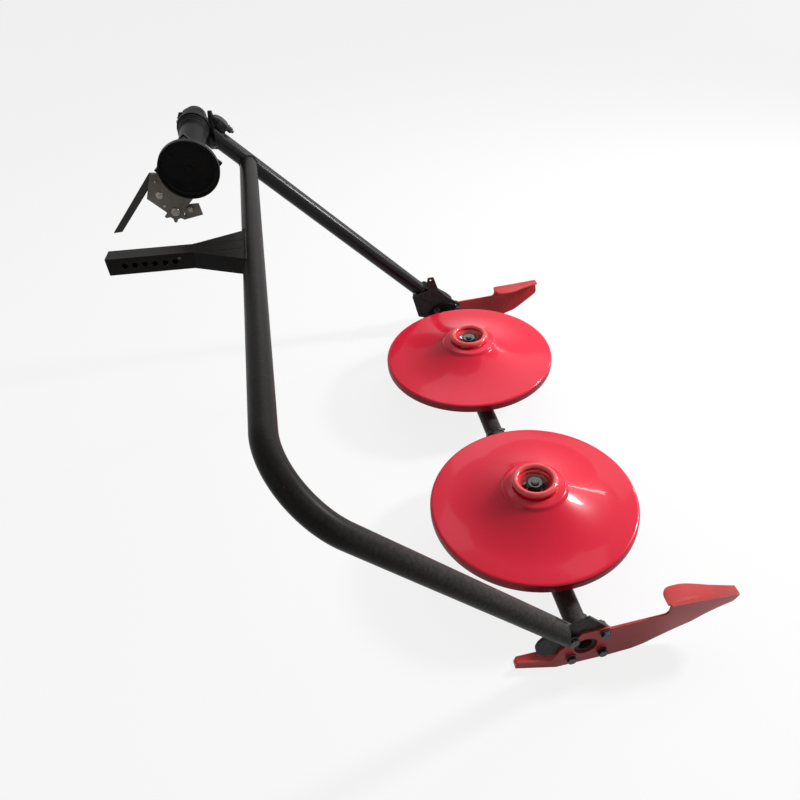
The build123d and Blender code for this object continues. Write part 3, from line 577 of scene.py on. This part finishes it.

# %% [markdown]
# The pan's upright lip is darker and duller than its top: paint is thin there and grass has stained it, and
# the maroon is also painted shade on the lip. A smooth step on the point's height mixes in that maroon below
# the rim.

# %% Darken the pans' lips with stain and painted shade
rim_height = float(at(0, 0, RIM_Z)[2])
tree = finishes["disc_red"].node_tree
# The maroon below the rim is partly stain and wear, and partly the lip's shade painted in
stain_and_shade = low_down(tree, rim_height - 0.007, rim_height - 0.002)
paint_over("disc_red", maths(tree, "MULTIPLY", stain_and_shade, 0.85), (0.21, 0.010, 0.012))
roughen("disc_red", maths(tree, "MULTIPLY", stain_and_shade, 0.3))
print("lip darkens below", round(rim_height, 4), "m")

# %% [markdown]
# Every CAD node comes with the name of its slot, and most finishes above are named after the slots. The latch
# lever is the one exception: it shares the latch's slot, but it is gripped every day and has gone darker.

# %% Give each CAD node the finish of its slot
for part in frame["record"]["subparts"]:
    node = frame["nodes"][part["node"]]
    node.data.materials.clear()
    dark_lever = part["node"] == "latch_lever"
    node.data.materials.append(finishes["lever_steel" if dark_lever else part["material_slot"]])

# %% [markdown]
# A pan is pressed from sheet: an upright lip with a rolled corner, a flat band, a cone that steepens
# inwards, and a raised seat for the hub. Its section is a closed loop, and rounding that loop before turning
# it gives the soft press radii that catch the light. The cone is a parabola through three heights.

# %% Pans
DISC_R = 250.0
WALL = 4.5
LIP_ROLL = 7
CONE_PLACES = ([208.0, 143.5, 79.0], [4.0, 17.2, 43.0])
cone_r = np.linspace(208.0, 79.0, 24)
cone_z = np.polyval(np.polyfit(*CONE_PLACES, 2), cone_r)
roll = np.linspace(0, math.pi / 2, 8)
outer = np.vstack([
    [[DISC_R, -LIP_DROP]],
    np.stack([DISC_R - LIP_ROLL + LIP_ROLL * np.cos(roll), -LIP_ROLL + LIP_ROLL * np.sin(roll)], axis=-1),
    np.stack([cone_r, cone_z], axis=-1),
    [[74.0, 50.0], [56.0, 54.0], [50.0, 54.0]],
])
inner = outer[::-1] - [[0, WALL]]
lip_side = np.stack([inner[:, 0] - WALL, inner[:, 1] + WALL * 0.5], axis=-1)
inner = np.where(inner[:, :1] > 240, lip_side, inner)
inner[-1] = [DISC_R - WALL, -LIP_DROP]
section = rounded_loop(np.vstack([outer, inner]), 2.0, 1.3)
section[:, 0] = np.minimum(section[:, 0], DISC_R - 0.05)
section[:, 1] = np.maximum(section[:, 1], -LIP_DROP + 0.02)
for name, y in ROTORS:
    rings = turned(*section.T, at(0, y, RIM_Z), UP, 256)
    make_piece(name + "_pan", skin(rings, True), name + "_rotor", "disc_red",
               stands_for=[name + "_disc_shell"])

# %% [markdown]
# The hub is a cup with a fat rolled ring on top. Its section is a circle for the ring, joined to a bowl that
# narrows to the nut's recess. The ring catches the light all round, so it has many segments.

# %% Hubs
RING_R, RING_Z, ROLL_R = 47, 62.5, 8.5
ring_turn = np.radians(np.linspace(-62, 205, 22))
ring = np.stack([RING_R + ROLL_R * np.cos(ring_turn), RING_Z + ROLL_R * np.sin(ring_turn)], axis=-1)
bowl = [[38.0, 58.0], [33.5, 50.5], [28.0, 45.0], [22.5, 41.0], [19.5, 38.5], [19.5, 30.0], [10.1, 30.0],
        [10.1, 25.0], [24.5, 25.0], [24.5, 35.0], [43.5, 54.0]]
hub_section = rounded_loop(np.vstack([ring, bowl]), 1.2, 0.7)
hub_section[:, 1] = np.maximum(hub_section[:, 1], 25.0)
for name, y in ROTORS:
    rings = turned(*hub_section.T, at(0, y, RIM_Z), UP, 144)
    make_piece(name + "_hub_ring", skin(rings, True), name + "_rotor", "hub_red",
               stands_for=[name + "_disc_hub"])

# %% [markdown]
# Bolts are hexagons with a chamfered top, mostly on a round washer and some with a stud's end showing. A
# hexagon is a turned piece too: its radius changes with the angle as a flat's distance from the middle does.

# %% Hexagons and bolts
HEX_SEGMENTS = 36


def hexagon(flats):
    """The radius of a hexagon at each column's angle: half the flats over the cosine of the angle to the
    nearest flat's middle."""
    turn = np.linspace(0, 2 * np.pi, HEX_SEGMENTS, endpoint=False)
    return flats / 2 / np.cos((turn % (np.pi / 3)) - np.pi / 6)


def bolt_head(centre, axis, flats, height, washer=0.0, stud=0.0):
    """Rings of radius [row, column]: a washer if asked, a hexagon with chamfers, and a stud if asked."""
    six = hexagon(flats)
    chamfer = np.minimum(six, flats / 2 * 1.04)
    small = np.full(HEX_SEGMENTS, flats * 0.34)
    round_washer = np.full(HEX_SEGMENTS, flats / 2 * 1.3)
    rows, heights = [], []
    if washer:
        rows += [round_washer, round_washer, round_washer - 0.5]
        heights += [0, washer - 0.4, washer]
    top = washer + height
    rows += [chamfer, six, six, chamfer, small]
    heights += [washer, washer + flats * 0.03, top - flats * 0.06, top, top]
    if stud:
        end = np.full(HEX_SEGMENTS, flats * 0.29)
        rows += [end, end, end * 0.8]
        heights += [top, top + stud * 0.8, top + stud]
    return skin(turned(np.array(rows), heights, centre, axis, HEX_SEGMENTS))


def bolt_ring(count, first, radius, centre, axis, *sizes):
    """Equal bolts round a centre: at equal angles from the first one, in degrees, each stands at the radius
    times the cosine and the sine, along the two drawing axes that the bolts' own axis leaves free."""
    free = [k for k in range(3) if not axis[k]]
    bolts = []
    for angle in np.radians(first + 360 / count * np.arange(count)):
        place = np.array(centre, float)
        place[free] += radius * np.array([math.cos(angle), math.sin(angle)])
        bolts.append(bolt_head(at(*place), axis, *sizes))
    return bolts


def fastenings(name, skins, slot="dark_steel", finish=None):
    """The bolts or rivets of one part of the machine as a single piece on the frame."""
    make_piece(name, gather(skins), "frame", slot, finish)


print("bolts ready")

# %% [markdown]
# Deep in each hub, black with oil, a lock nut holds the pan down on a spring washer, and the spindle's
# threaded end stands out of it. The thread is the stud's radius plus a triangle wave that climbs one pitch
# each turn.

# %% Spindle nuts, washers and threads
def thread(centre, axis, radius, length, pitch):
    """A stud whose radius is its own less half a pitch times a triangle wave, whose phase is the height
    over the pitch less the turn's share."""
    height = np.linspace(0, length, int(length / pitch * 8) + 1)
    turn = np.linspace(0, 1, 40, endpoint=False)
    phase = (height[:, None] / pitch - turn[None, :]) % 1
    ridge = radius - pitch * 0.5 * np.abs(2 * phase - 1)
    return skin(turned(ridge, height, centre, axis, 40))


washer_section = np.array([[18.8, 0.2], [18.8, 2.6], [10.6, 2.9], [10.6, 0.2]])
for name, y in ROTORS:
    washer = skin(turned(*washer_section.T, at(0, y, RIM_Z + 46), UP, 48), True)
    lock_nut = bolt_head(at(0, y, RIM_Z + 48.5), UP, 33, 9.5)
    made = gather([washer, lock_nut, thread(at(0, y, RIM_Z + 57.5), UP, 9.4, 6.0, 2.0)])
    make_piece(name + "_nut_trim", made, name + "_rotor", "dark_steel", "oily_steel")

# %% [markdown]
# The frame's long tube runs up from the skid, turns through a quarter circle in the plane of the two legs,
# and crosses to the driven side. It is one bent pipe, so it is one sweep. Its lower end is cut upright
# against the end plate: each point of the first ring slides along the tube's axis to that upright plane.

# %% Bent frame tube
LEG_END_X = -42.0
slope = np.array([math.cos(LEG_ANGLE), 0.0, -math.sin(LEG_ANGLE)])
side = np.array([0.0, 1.0, 0.0])
corner = np.array([CROSS_X, RUN_Y, CROSS_Z])
arc = np.linspace(0, math.pi / 2, 40)[:, None]
bend_centre = corner + slope * BEND_R + side * BEND_R
bend = bend_centre - side * BEND_R * np.cos(arc) - slope * BEND_R * np.sin(arc)
lower = np.array([LEG_END_X, RUN_Y, BAR_Z - LEG_END_X * math.tan(LEG_ANGLE)])
run = lower + (bend[0] - lower) * np.linspace(0, 1, 30)[:-1, None]
crossing_end = np.array([CROSS_X, DRIVE_Y - 6, CROSS_Z])
crossing = bend[-1] + (crossing_end - bend[-1]) * np.linspace(0, 1, 40)[1:, None]
line = np.vstack([run, bend, crossing])
rings = swept(at(*line.T), TUBE_R, 64)
lift = (at(LEG_END_X, 0, 0)[0] - rings[0][:, 0]) / slope[0]
rings[0] += lift[:, None] * slope
make_piece("bent_tube", skin(rings), "frame", "black_satin",
           stands_for=["side_leg_tube", "side_bend", "cross_tube"], sharp=50)

# %% [markdown]
# The drive tube is the straight leg on the far side, with the drive shaft inside it. It runs from the clamp
# under the top gear case down to the neck of the far gear housing. Its two ends are hidden in those castings,
# so it stops a little inside each. Pieces on it are placed along its axis and out above it.

# %% Drive tube
ROOT_RISE = 17.0
NECK_LEFT = 110
root = np.array([0.0, DRIVE_Y, BAR_Z + ROOT_RISE])
gear = np.array([GEAR_X, DRIVE_Y, GEAR_Z])
drive_length = np.linalg.norm(root - gear)
drive_down = (root - gear) / drive_length
drive_across = np.array([-drive_down[2], 0.0, drive_down[0]])
stations = np.linspace(58.5, drive_length - NECK_LEFT - 0.5, 60)[:, None]
rings = swept(at(*(gear + drive_down * stations).T), TUBE_R, 64)
make_piece("drive_pipe", skin(rings), "frame", "black_gloss", stands_for=["drive_tube"], sharp=50)


def on_drive(along, out, y=0.0):
    """A point along the drive axis from the gear centre, and out above it, in drawing millimetres."""
    return at(*(gear + drive_down * along + drive_across * out + np.array([0, y, 0])))


print("drive tube", round(float(drive_length)), "mm between its centres")

# %% [markdown]
# The input dish faces the tractor's coupling: a shallow pan with a rolled lip, faint turned rings inside,
# and a hub behind. Its section goes from the middle of the face out over the lip and back along the hub.

# %% Input dish
WAVE, WAVE_STEP = 0.10, 6.0
face_r = np.linspace(0.5, 59.0, 60)
face_z = WAVE * np.cos(face_r / WAVE_STEP * 2 * np.pi) * (face_r > 10) * (face_r < 34) - 0.4
LIP_AND_HUB = np.array([
    (61.5, 0.4), (64.0, 2.6), (65.2, 9.5), (66.3, 11.4), (68.2, 11.9), (69.6, 11.2), (69.95, 9.0),
    (69.95, -4.0), (69.0, -4.95), (28.0, -4.95), (28.0, -32.8), (27.0, -33.9), (12.7, -33.9), (12.7, -4.95),
    (0.5, -4.95)])
dish_r = np.concatenate([face_r, LIP_AND_HUB[:, 0]])
dish_z = np.concatenate([face_z, LIP_AND_HUB[:, 1]])
dish_centre = (GEAR_X, 646, GEAR_Z)
rings = turned(dish_r, dish_z, at(*dish_centre), NEARWARD, 128)
make_piece("input_dish", skin(rings), "input", "black_casting", "black_satin", ["input_flange"])

# %% [markdown]
# The fin on a skid's nose was cut by hand and ground round. The solid has a straight-sided fin, so a thin
# skin with the true rounded outline lies over it: a quarter of a superellipse at the rear, then a cubic that
# leaves the widest point level and meets the straight front edge at its own slope.

# %% Rounded fins
REAR_X, REAR_L, REAR_POWER = 205, 27.5, 2.6
WIDE_X, WIDE = 215, 41.5
FRONT_X, FRONT, FRONT_SLOPE = 288, 21.5, 0.29
TIP_X = 332.6
FIN_LOW, FIN_HIGH = 129.9, 135.2
rear_x = REAR_X - REAR_L * np.cos(np.linspace(0.06, np.pi / 2, 24))
fin_x = np.concatenate([rear_x, np.linspace(207, TIP_X, 48)])
rear = np.clip((REAR_X - fin_x) / REAR_L, 0, 1)
free = -14 - REAR_L * (1 - rear**REAR_POWER) ** (1 / REAR_POWER)
middle_l = FRONT_X - WIDE_X
t = np.clip((fin_x - WIDE_X) / middle_l, 0, 1)
middle = (-WIDE * (1 - 3 * t**2 + 2 * t**3) - FRONT * (3 * t**2 - 2 * t**3)
          + middle_l * FRONT_SLOPE * (t**3 - t**2))
free = np.where(fin_x > WIDE_X, middle, free)
free = np.where(fin_x > FRONT_X, -FRONT + 13.2 * (fin_x - FRONT_X) / 45, free)
fold = 1.0 + 9.0 * np.clip((fin_x - 181) / 152, 0, 1)
edge_steps = [(1.0, FIN_LOW), (0.2, 130.3), (0, 131.2), (0, 134.0), (0.2, 134.8), (1.0, FIN_HIGH)]
for name, skid_y, outward in (("near", SKID_T - SKID_OUT, -1.0), ("far", FAR_SKID_Y, 1.0)):
    corners = [(fold, FIN_LOW)] + [(free + inset, z) for inset, z in edge_steps] + [(fold, FIN_HIGH)]
    rings = np.stack([at(fin_x, skid_y + outward * offset, z) for offset, z in corners], axis=1)
    make_piece(name + "_fin_skin", skin(rings), "frame", "skid_red", sharp=60)

# %% [markdown]
# Castings swell where a bolt goes through. A lobed ring does that for a flange: its radius is a constant plus
# a few millimetres times the cosine of four times the angle. The bell of the input tube is a turned profile
# with three ribs.

# %% Flange rims and the ribbed bell of the top gear case
FLANGE_TO = 35
REAR_Z = 770
LOBES = 4
RIM_T = 11


def lobed_ring(inner, middle, swell, centre):
    """The outside is middle + swell times cos(lobes times angle), its two edges drawn in by 1.5 mm."""
    turn = np.linspace(0, 2 * np.pi, 96, endpoint=False)
    outside = middle + swell * np.cos(LOBES * turn)
    bore = np.full(96, inner)
    rows = [bore, outside - 1.5, outside - 0.4, outside, outside, outside - 0.4, outside - 1.5, bore]
    heights = [0, 0, 0.4, 1.5, RIM_T - 1.5, RIM_T - 0.4, RIM_T, RIM_T]
    return skin(turned(np.array(rows), heights, centre, FORWARD, 96), True)


flange_z = float((gear + drive_down * (FLANGE_TO / drive_down[0]))[2])
BELL_Y = 878
bell = np.array([
    (878, 33.1), (884, 34.2), (890, 36.6), (893, 37.8), (896, 37.8), (899, 36.0), (902, 36.0), (905, 38.2),
    (908, 38.2), (911, 36.4), (914, 36.4), (917, 38.8), (920, 39.2), (924, 39.4), (925.5, 39.2),
    (925.5, 32.5), (878, 32.5)])
case = [lobed_ring(40, 47.9, 4.0, at(-629, DRIVE_Y, flange_z + 8)),
        lobed_ring(33, 36.0, 3.5, at(-704, DRIVE_Y, REAR_Z)),
        skin(turned(bell[:, 1], bell[:, 0] - BELL_Y, at(GEAR_X, BELL_Y, GEAR_Z), FARWARD, 96), True)]
make_piece("gear_case_rims", gather(case), "frame", "black_alloy")

# %% [markdown]
# The clamp is a casting with soft corners. Its cross-section is a superellipse, a rectangle with corners as
# round as its power says, and it swells and shrinks along the drive tube.

# %% Clamp on the drive tube
CORNER_POWER = 5.0


def rounded_block(stations, rises, widths, place):
    """Ring i is the superellipse |a / rise|^p + |b / width|^p = 1 at station i, each rise with its middle,
    set in the frame by place(along, out, side)."""
    turn = np.linspace(0, 2 * np.pi, 48, endpoint=False)
    out = np.sign(np.sin(turn)) * np.abs(np.sin(turn)) ** (2 / CORNER_POWER)
    across = np.sign(np.cos(turn)) * np.abs(np.cos(turn)) ** (2 / CORNER_POWER)
    return skin(np.array([[place(s, middle + h * o, w * a) for o, a in zip(out, across)]
                          for s, (h, middle), w in zip(stations, rises, widths)]))


clamp_stations = [29.0, 30.5, 33.0, 42.0, 52.0, 66.0, 72.0, 75.0, 76.0]
clamp_rise = [(9, 34), (11, 34.5), (12.5, 35.5), (14.5, 37.5), (15.5, 38), (14.5, 37.5), (13, 36.5),
              (11.5, 36), (9, 36)]
clamp_width = [11, 14, 15.5, 16.8, 16.9, 16.6, 15.5, 14, 11]
made = rounded_block(clamp_stations, clamp_rise, clamp_width, on_drive)
make_piece("clamp_casting", made, "frame", "dark_steel", "clamp_iron", ["clamp_block"], 60)

# %% [markdown]
# The skids and the cutter bar's flanges are held by M12 and M10 bolts on washers. They are gathered into one
# piece for each part of the machine, so that a finish or a pattern can be changed in one place.

# %% Bolts on the skids and end plates
skid_places = [(5 + i * 35, BAR_Z + k * 34) for i in (-1, 1) for k in (-1, 1)]
flange_places = [(-28, 92), (44, 88), (42, 26), (-36, 26)]
heads = [bolt_head(at(x, -SKID_OUT, z), NEARWARD, 19, 7.5, 2.2) for x, z in skid_places]
nuts = [bolt_head(at(x, -341, z), FARWARD, 19, 10, 2.2, 6) for x, z in skid_places]
fastenings("near_skid_bolts", heads)
fastenings("near_skid_nuts", nuts)
heads = [bolt_head(at(x, FAR_OUT, z), FARWARD, 19, 7.5, 2.2) for x, z in skid_places
         if abs(x) > 32 and z < 60]
heads += [bolt_head(at(x, 943.5, z), NEARWARD, 17, 7, 2.0, 3) for x, z in flange_places]
fastenings("far_flange_bolts", heads)

# %% [markdown]
# Each housing's lid or cover is held by a ring of small bolts. A ring is given by its count, the angle of its
# first bolt, its radius, its centre and its axis, and then by the size of the bolts.

# %% Bolts on the gear housings
lids = [bolt for _, y in ROTORS for bolt in bolt_ring(6, 30, 60, (0, y, 99), UP, 10, 5)]
cover = bolt_ring(6, 0, 32, (0, 1035.5, BAR_Z), FARWARD, 10, 5, 1.5)
fastenings("housing_bolts", lids + cover)
rear = bolt_ring(4, 45, 27, (-706, DRIVE_Y, REAR_Z), REARWARD, 9, 4.5, 1.4)
front = bolt_ring(4, 45, 34.5, (-628, DRIVE_Y, flange_z), FORWARD, 11, 6, 1.6, 2)
cap = bolt_ring(3, 90, 21, (GEAR_X, DRIVE_Y + 45.8, GEAR_Z - 5), FARWARD, 9, 4.5, 1.4)
ring_screws = bolt_ring(4, 45, 37.3, (GEAR_X, DRIVE_Y - 64, GEAR_Z), NEARWARD, 6.5, 3.5)
fastenings("gear_bolts", rear + front + cap + ring_screws)

# %% [markdown]
# One long bolt beside the sleeve draws the clamp tight, with a small one from the side, and the tilted
# mounting plate carries four more. Points on these tilted pieces are given along the slope and across it. A
# small stop bolt sits on the side of the hitch arm, which leans a few degrees out of line, and the input
# dish has bolts of its own.

# %% Clamp bolts, plate bolts, the arm's stop and the dish's bolts
ARM_HALF = 20
upward = np.array([math.sin(LEG_ANGLE), 0.0, math.cos(LEG_ANGLE)])


def on_slope(along, across, y):
    """A point on the tilted plane through the input axis: along the legs' slope, then across it upwards."""
    place = np.array([GEAR_X, 0.0, GEAR_Z]) + slope * along + upward * across
    return at(place[0], y, place[2])


clamp = [bolt_head(on_drive(75.5, 41), drive_down, 15, 11, 2.5, 6),
         bolt_head(on_drive(50, 40, -16.8), NEARWARD, 11, 5, 1.6)]
plate_places = [(-40, 38), (48, 38), (-40, -60), (48, -60)]
plate = [bolt_head(on_slope(a, c, 686), NEARWARD, 10, 5.5, 1.6) for a, c in plate_places]
arm_turn = math.radians(5.4)
arm_out = np.array([-math.cos(arm_turn), math.sin(arm_turn), 0.0])
arm_side = np.array([-math.sin(arm_turn), -math.cos(arm_turn), 0.0])
arm_root = np.array([CROSS_X, 444.0, CROSS_Z])
stop_place = arm_root + arm_out * 159 + arm_side * ARM_HALF + [0, 0, 9]
fastenings("clamp_and_plate_bolts", clamp + plate + [bolt_head(at(*stop_place), arm_side, 5.5, 2.2)])
dish_bolts = bolt_ring(4, 45, 48, dish_centre, NEARWARD, 8, 2.6)
dish_bolts += [bolt_head(at(*dish_centre), NEARWARD, 13, 3, 0.8)]
make_piece("dish_bolts", gather(dish_bolts), "input", "dark_steel", "black_casting")

# %% [markdown]
# The latch's plates are riveted. A rivet's head is a low dome, and a big one is the pivot of the toothed
# sector. Small ones and one bolt hold the plates together.

# %% Latch rivets and bolts
LATCH_FACE = 708


def rivet(centre, radius, rise):
    """A domed head that faces near: the radius is the cosine and the height the sine of an angle from
    nought nearly to a right angle."""
    arch = np.linspace(0, math.pi / 2 * 0.97, 9)
    return skin(turned(radius * np.cos(arch), rise * np.sin(arch), centre, NEARWARD, 28))


latch = [rivet(on_slope(48, -136, LATCH_FACE), 11.5, 6.5),
         bolt_head(on_slope(72, -108, LATCH_FACE), NEARWARD, 10, 4, 1.4)]
latch += [rivet(on_slope(a, c, LATCH_FACE), r, 3.5) for a, c, r in
          ((-4, -124, 9.5), (-30, -100, 4.0), (20, -140, 4.0))]
latch += [rivet(on_slope(-42, -92, 712), 6.0, 3.0)]
fastenings("latch_fixings", latch, "galvanised", "bright_zinc")

# %% [markdown]
# Hand welds join the frame. A bead is a small circle swept along the joint with a ripple: its radius swells
# and shrinks every couple of millimetres, as each drop of metal freezes over the last. Each path is the true
# line where the two parts meet.

# %% A weld bead
rng = np.random.default_rng(7)


def bead(path, radius, closed=False):
    """The radius is its own times one plus a ripple of the length along the path and a little fixed
    noise."""
    path = np.asarray(path, float)
    length = np.concatenate([[0], np.cumsum(np.linalg.norm(np.diff(path, axis=0), axis=1))])
    steps = max(int(length[-1] / 0.8), 8)
    place = np.linspace(0, length[-1], steps, endpoint=not closed)
    dense = np.stack([np.interp(place, length, path[:, k]) for k in range(3)], axis=-1)
    ripple = 1 + 0.16 * np.abs(np.sin(place * np.pi / 3.2)) + 0.05 * rng.standard_normal(steps)
    return skin(swept(at(*dense.T), radius * ripple, 10, closed), closed)


turn = np.linspace(0, 2 * np.pi, 121)
off_axis = (np.array([CROSS_X, 0, CROSS_Z]) - gear) @ drive_across
u = off_axis + TUBE_R * (np.cos(turn) * drive_across[0] + np.sin(turn) * drive_across[2])
saddle_y = DRIVE_Y - np.sqrt(np.maximum(TUBE_R**2 - u**2, 4.0))
saddle = np.stack([CROSS_X + TUBE_R * np.cos(turn), saddle_y, CROSS_Z + TUBE_R * np.sin(turn)], axis=-1)
welds = [bead(saddle, 2.6, True)]
print("saddle weld", len(turn), "path points")

# %% [markdown]
# The arm's gussets meet the cross tube in an arc, and their tips lie flat on the arm. The bar's collars get a
# ring of weld each, the leg's foot a short bead above and below, and the drive tube's neck another ring.

# %% Weld beads
GUSSET_HALF = 77.0
GUSSET_L = 131
rise = np.linspace(-20, 20, 17)
gusset_x = CROSS_X - np.sqrt(TUBE_R**2 - rise**2)
near_side, far_side = (np.stack([gusset_x, np.full(17, 444 + half), CROSS_Z + rise], axis=-1)
                       for half in (-GUSSET_HALF, GUSSET_HALF))
welds += [bead(near_side, 2.4), bead(far_side, 2.4)]
welds += [bead(np.array([near_side[k], far_side[k]]), 2.6) for k in (0, -1)]
arm_up = np.array([0, 0, 19.0])
for side_sign in (-1, 1):
    tip = arm_root + arm_out * GUSSET_L - arm_side * ARM_HALF * side_sign
    end = arm_root + arm_out * 20 - arm_side * ARM_HALF * side_sign
    welds += [bead(np.array([tip + arm_up, end + arm_up]), 1.6)]
    welds += [bead(np.array([tip - arm_up, tip + arm_up]), 1.6)]
for radius, y in ((29.0, -340.5), (24.0, -290.5), (24.5, 943.0)):
    collar = [radius * np.cos(turn), np.full(121, y), BAR_Z + radius * np.sin(turn)]
    welds.append(bead(np.stack(collar, axis=-1), 2.2, True))
for sign in (-1, 1):
    first = lower + upward * 23.5 * sign + np.array([0, 3.0, 0]) - slope * (6 + 22 * (sign > 0))
    welds.append(bead(np.array([first, first - slope * 38]), 2.2))
neck = gear + drive_down * (drive_length - NECK_LEFT)
neck_ring = neck + TUBE_R * (np.cos(turn)[:, None] * drive_across + np.sin(turn)[:, None] * side)
welds.append(bead(neck_ring, 2.2, True))
make_piece("weld_beads", gather(welds), "frame", "black_satin")

# %% [markdown]
# The cutter bar shows a short steel band and a stud with a round head between the pans. Both are small
# turned profiles, and the band's corners are rounded in the same way as a pan's.

# %% Stud and ring on the cutter bar
stud_height = [0, 2.5, 2.5, 7.0, 8.0]
stud = skin(turned([5.0, 5.0, 3.2, 3.2, 2.0], stud_height, at(23.5, 336, BAR_Z + 4), FORWARD, 24))
band_section = rounded_loop(np.array([[23.5, 0.0], [27.0, 0.0], [27.0, 9.0], [23.5, 9.0]]), 0.8, 0.8)
band = skin(turned(*band_section.T, at(0, 318, BAR_Z), FARWARD, 64), True)
fastenings("bar_trim", [stud, band])

# %% [markdown]
# The stage is a pale floor under soft studio light. Light Path shows the floor and the sky nearly white to
# the camera and in gloss or glass, while the light that falls on the object stays plain. So its colours come
# out as written, and the floor keeps a soft shadow.

# %% Floor and sky
FLOOR_HALF = 30.0
SHOWN_SHARE = 0.84


def shown(tree):
    """One for rays from the camera, gloss or glass, and nought for the light that falls on things."""
    path = add(tree, "ShaderNodeLightPath")
    seen = maths(tree, "MAXIMUM", path.outputs["Is Camera Ray"], path.outputs["Is Glossy Ray"])
    return maths(tree, "MAXIMUM", seen, path.outputs["Is Transmission Ray"])


floor_mesh = bpy.data.meshes.new("floor")
ground = float(cad_low.z) - 0.0005
floor_corners = [(x * FLOOR_HALF, y * FLOOR_HALF, ground) for x, y in ((-1, -1), (1, -1), (1, 1), (-1, 1))]
floor_mesh.from_pydata(floor_corners, [], [(0, 1, 2, 3)])
floor = put_in_scene("floor", floor_mesh)
paper = bpy.data.materials.new("paper")
paper.use_nodes = True
tree = paper.node_tree
tree.nodes.remove(tree.nodes["Principled BSDF"])
seen = shown(tree)
paper_shade = mix(tree, seen, colour(0.44, 0.44, 0.44), colour(0.94, 0.94, 0.94))
matt = add(tree, "ShaderNodeBsdfDiffuse", Color=paper_shade).outputs[0]
glow = add(tree, "ShaderNodeEmission", Color=colour(1, 1, 1), Strength=1.0).outputs[0]
glow_share = maths(tree, "MULTIPLY", seen, SHOWN_SHARE)
blend = add(tree, "ShaderNodeMixShader", i0=glow_share, i1=matt, i2=glow).outputs[0]
tree.links.new(blend, tree.nodes["Material Output"].inputs[0])
floor.data.materials.append(paper)

world = bpy.data.worlds.new("studio")
bpy.context.scene.world = world
world.use_nodes = True
tree = world.node_tree
strength = maths(tree, "ADD", maths(tree, "MULTIPLY", shown(tree), SHOWN_SHARE), 1 - SHOWN_SHARE)
tree.links.new(strength, tree.nodes["Background"].inputs["Strength"])
tree.nodes["Background"].inputs["Color"].default_value = colour(1, 1, 1)
print("floor at", round(ground, 4), "sky lights things at", round(1 - SHOWN_SHARE, 2))

# %% [markdown]
# Four area lamps stand in for the studio. A small window gives the bright spot on the near pan, and a long
# narrow one along the drive tube draws the streak on it. A ceiling panel softens the shadows, and a weak
# panel on the left lifts the dark side.

# %% Lamps
def lamp(name, towards, distance, size, power, aim, long_way=(0, 0, 0)):
    """An area lamp at aim plus a direction times a distance, turned to face aim. Its first size lies along
    long_way made square to that direction, or level if long_way is nought."""
    data = bpy.data.lights.new(name, "AREA")
    data.shape = "RECTANGLE"
    data.size, data.size_y = size
    data.energy = power
    made = put_in_scene(name, data)
    out = Vector(towards).normalized()
    wide = Vector(long_way)
    wide = wide - out * wide.dot(out) if wide.length > 0 else Vector((0, 0, 1)).cross(out)
    wide.normalize()
    made.location = Vector(aim) + out * distance
    made.rotation_mode = "QUATERNION"
    made.rotation_quaternion = Matrix((wide, out.cross(wide), out)).transposed().to_quaternion()
    made.visible_camera = False


lamp("window", (0.802, 0.238, 0.547), 3.2, (0.42, 0.52), 98, at(66, -45, RIM_Z + 41))
lamp("tall_window", (0.851, 0.412, 0.325), 8.0, (4.6, 0.24), 95, at(-330, 990, 420), drive_down)
lamp("ceiling", (0.35, 0.55, 0.80), 2.8, (2.0, 2.0), 20, at(-280, 300, 0))
lamp("left_fill", (-0.9, -0.5, 0.6), 3.4, (1.6, 1.6), 4, at(-280, 300, 300))
print("lamps", [light.name for light in bpy.data.lights])

# %% [markdown]
# The camera stands where the photograph was taken from. Its place and turn were solved from the two rims,
# which are equal circles in one plane, and from the straight tubes. The small shift stands for the crop.

# %% Camera
FOCAL_PIXELS = 714.96
PICTURE_PIXELS = 800
SENSOR = 36.0
eye = at(0, 0, RIM_Z) + np.array([-0.4356, -1.0943, 1.2914])
camera_right = Vector((0.97256, -0.23106, -0.02736))
camera_up = Vector((0.16802, 0.61611, 0.76953))
camera_data = bpy.data.cameras.new("camera")
camera_data.lens = FOCAL_PIXELS / PICTURE_PIXELS * SENSOR
camera_data.sensor_width = SENSOR
camera_data.shift_x = -0.0601
camera_data.shift_y = -0.0047
camera_data.clip_start = 0.05
camera_data.clip_end = 200.0
camera = put_in_scene("camera", camera_data)
turn_to = Matrix((camera_right, camera_up, camera_right.cross(camera_up))).transposed().to_4x4()
camera.matrix_world = Matrix.Translation(Vector(eye)) @ turn_to
bpy.context.scene.camera = camera
bpy.context.scene.view_settings.view_transform = "Standard"
print("camera at", [round(v, 3) for v in eye])
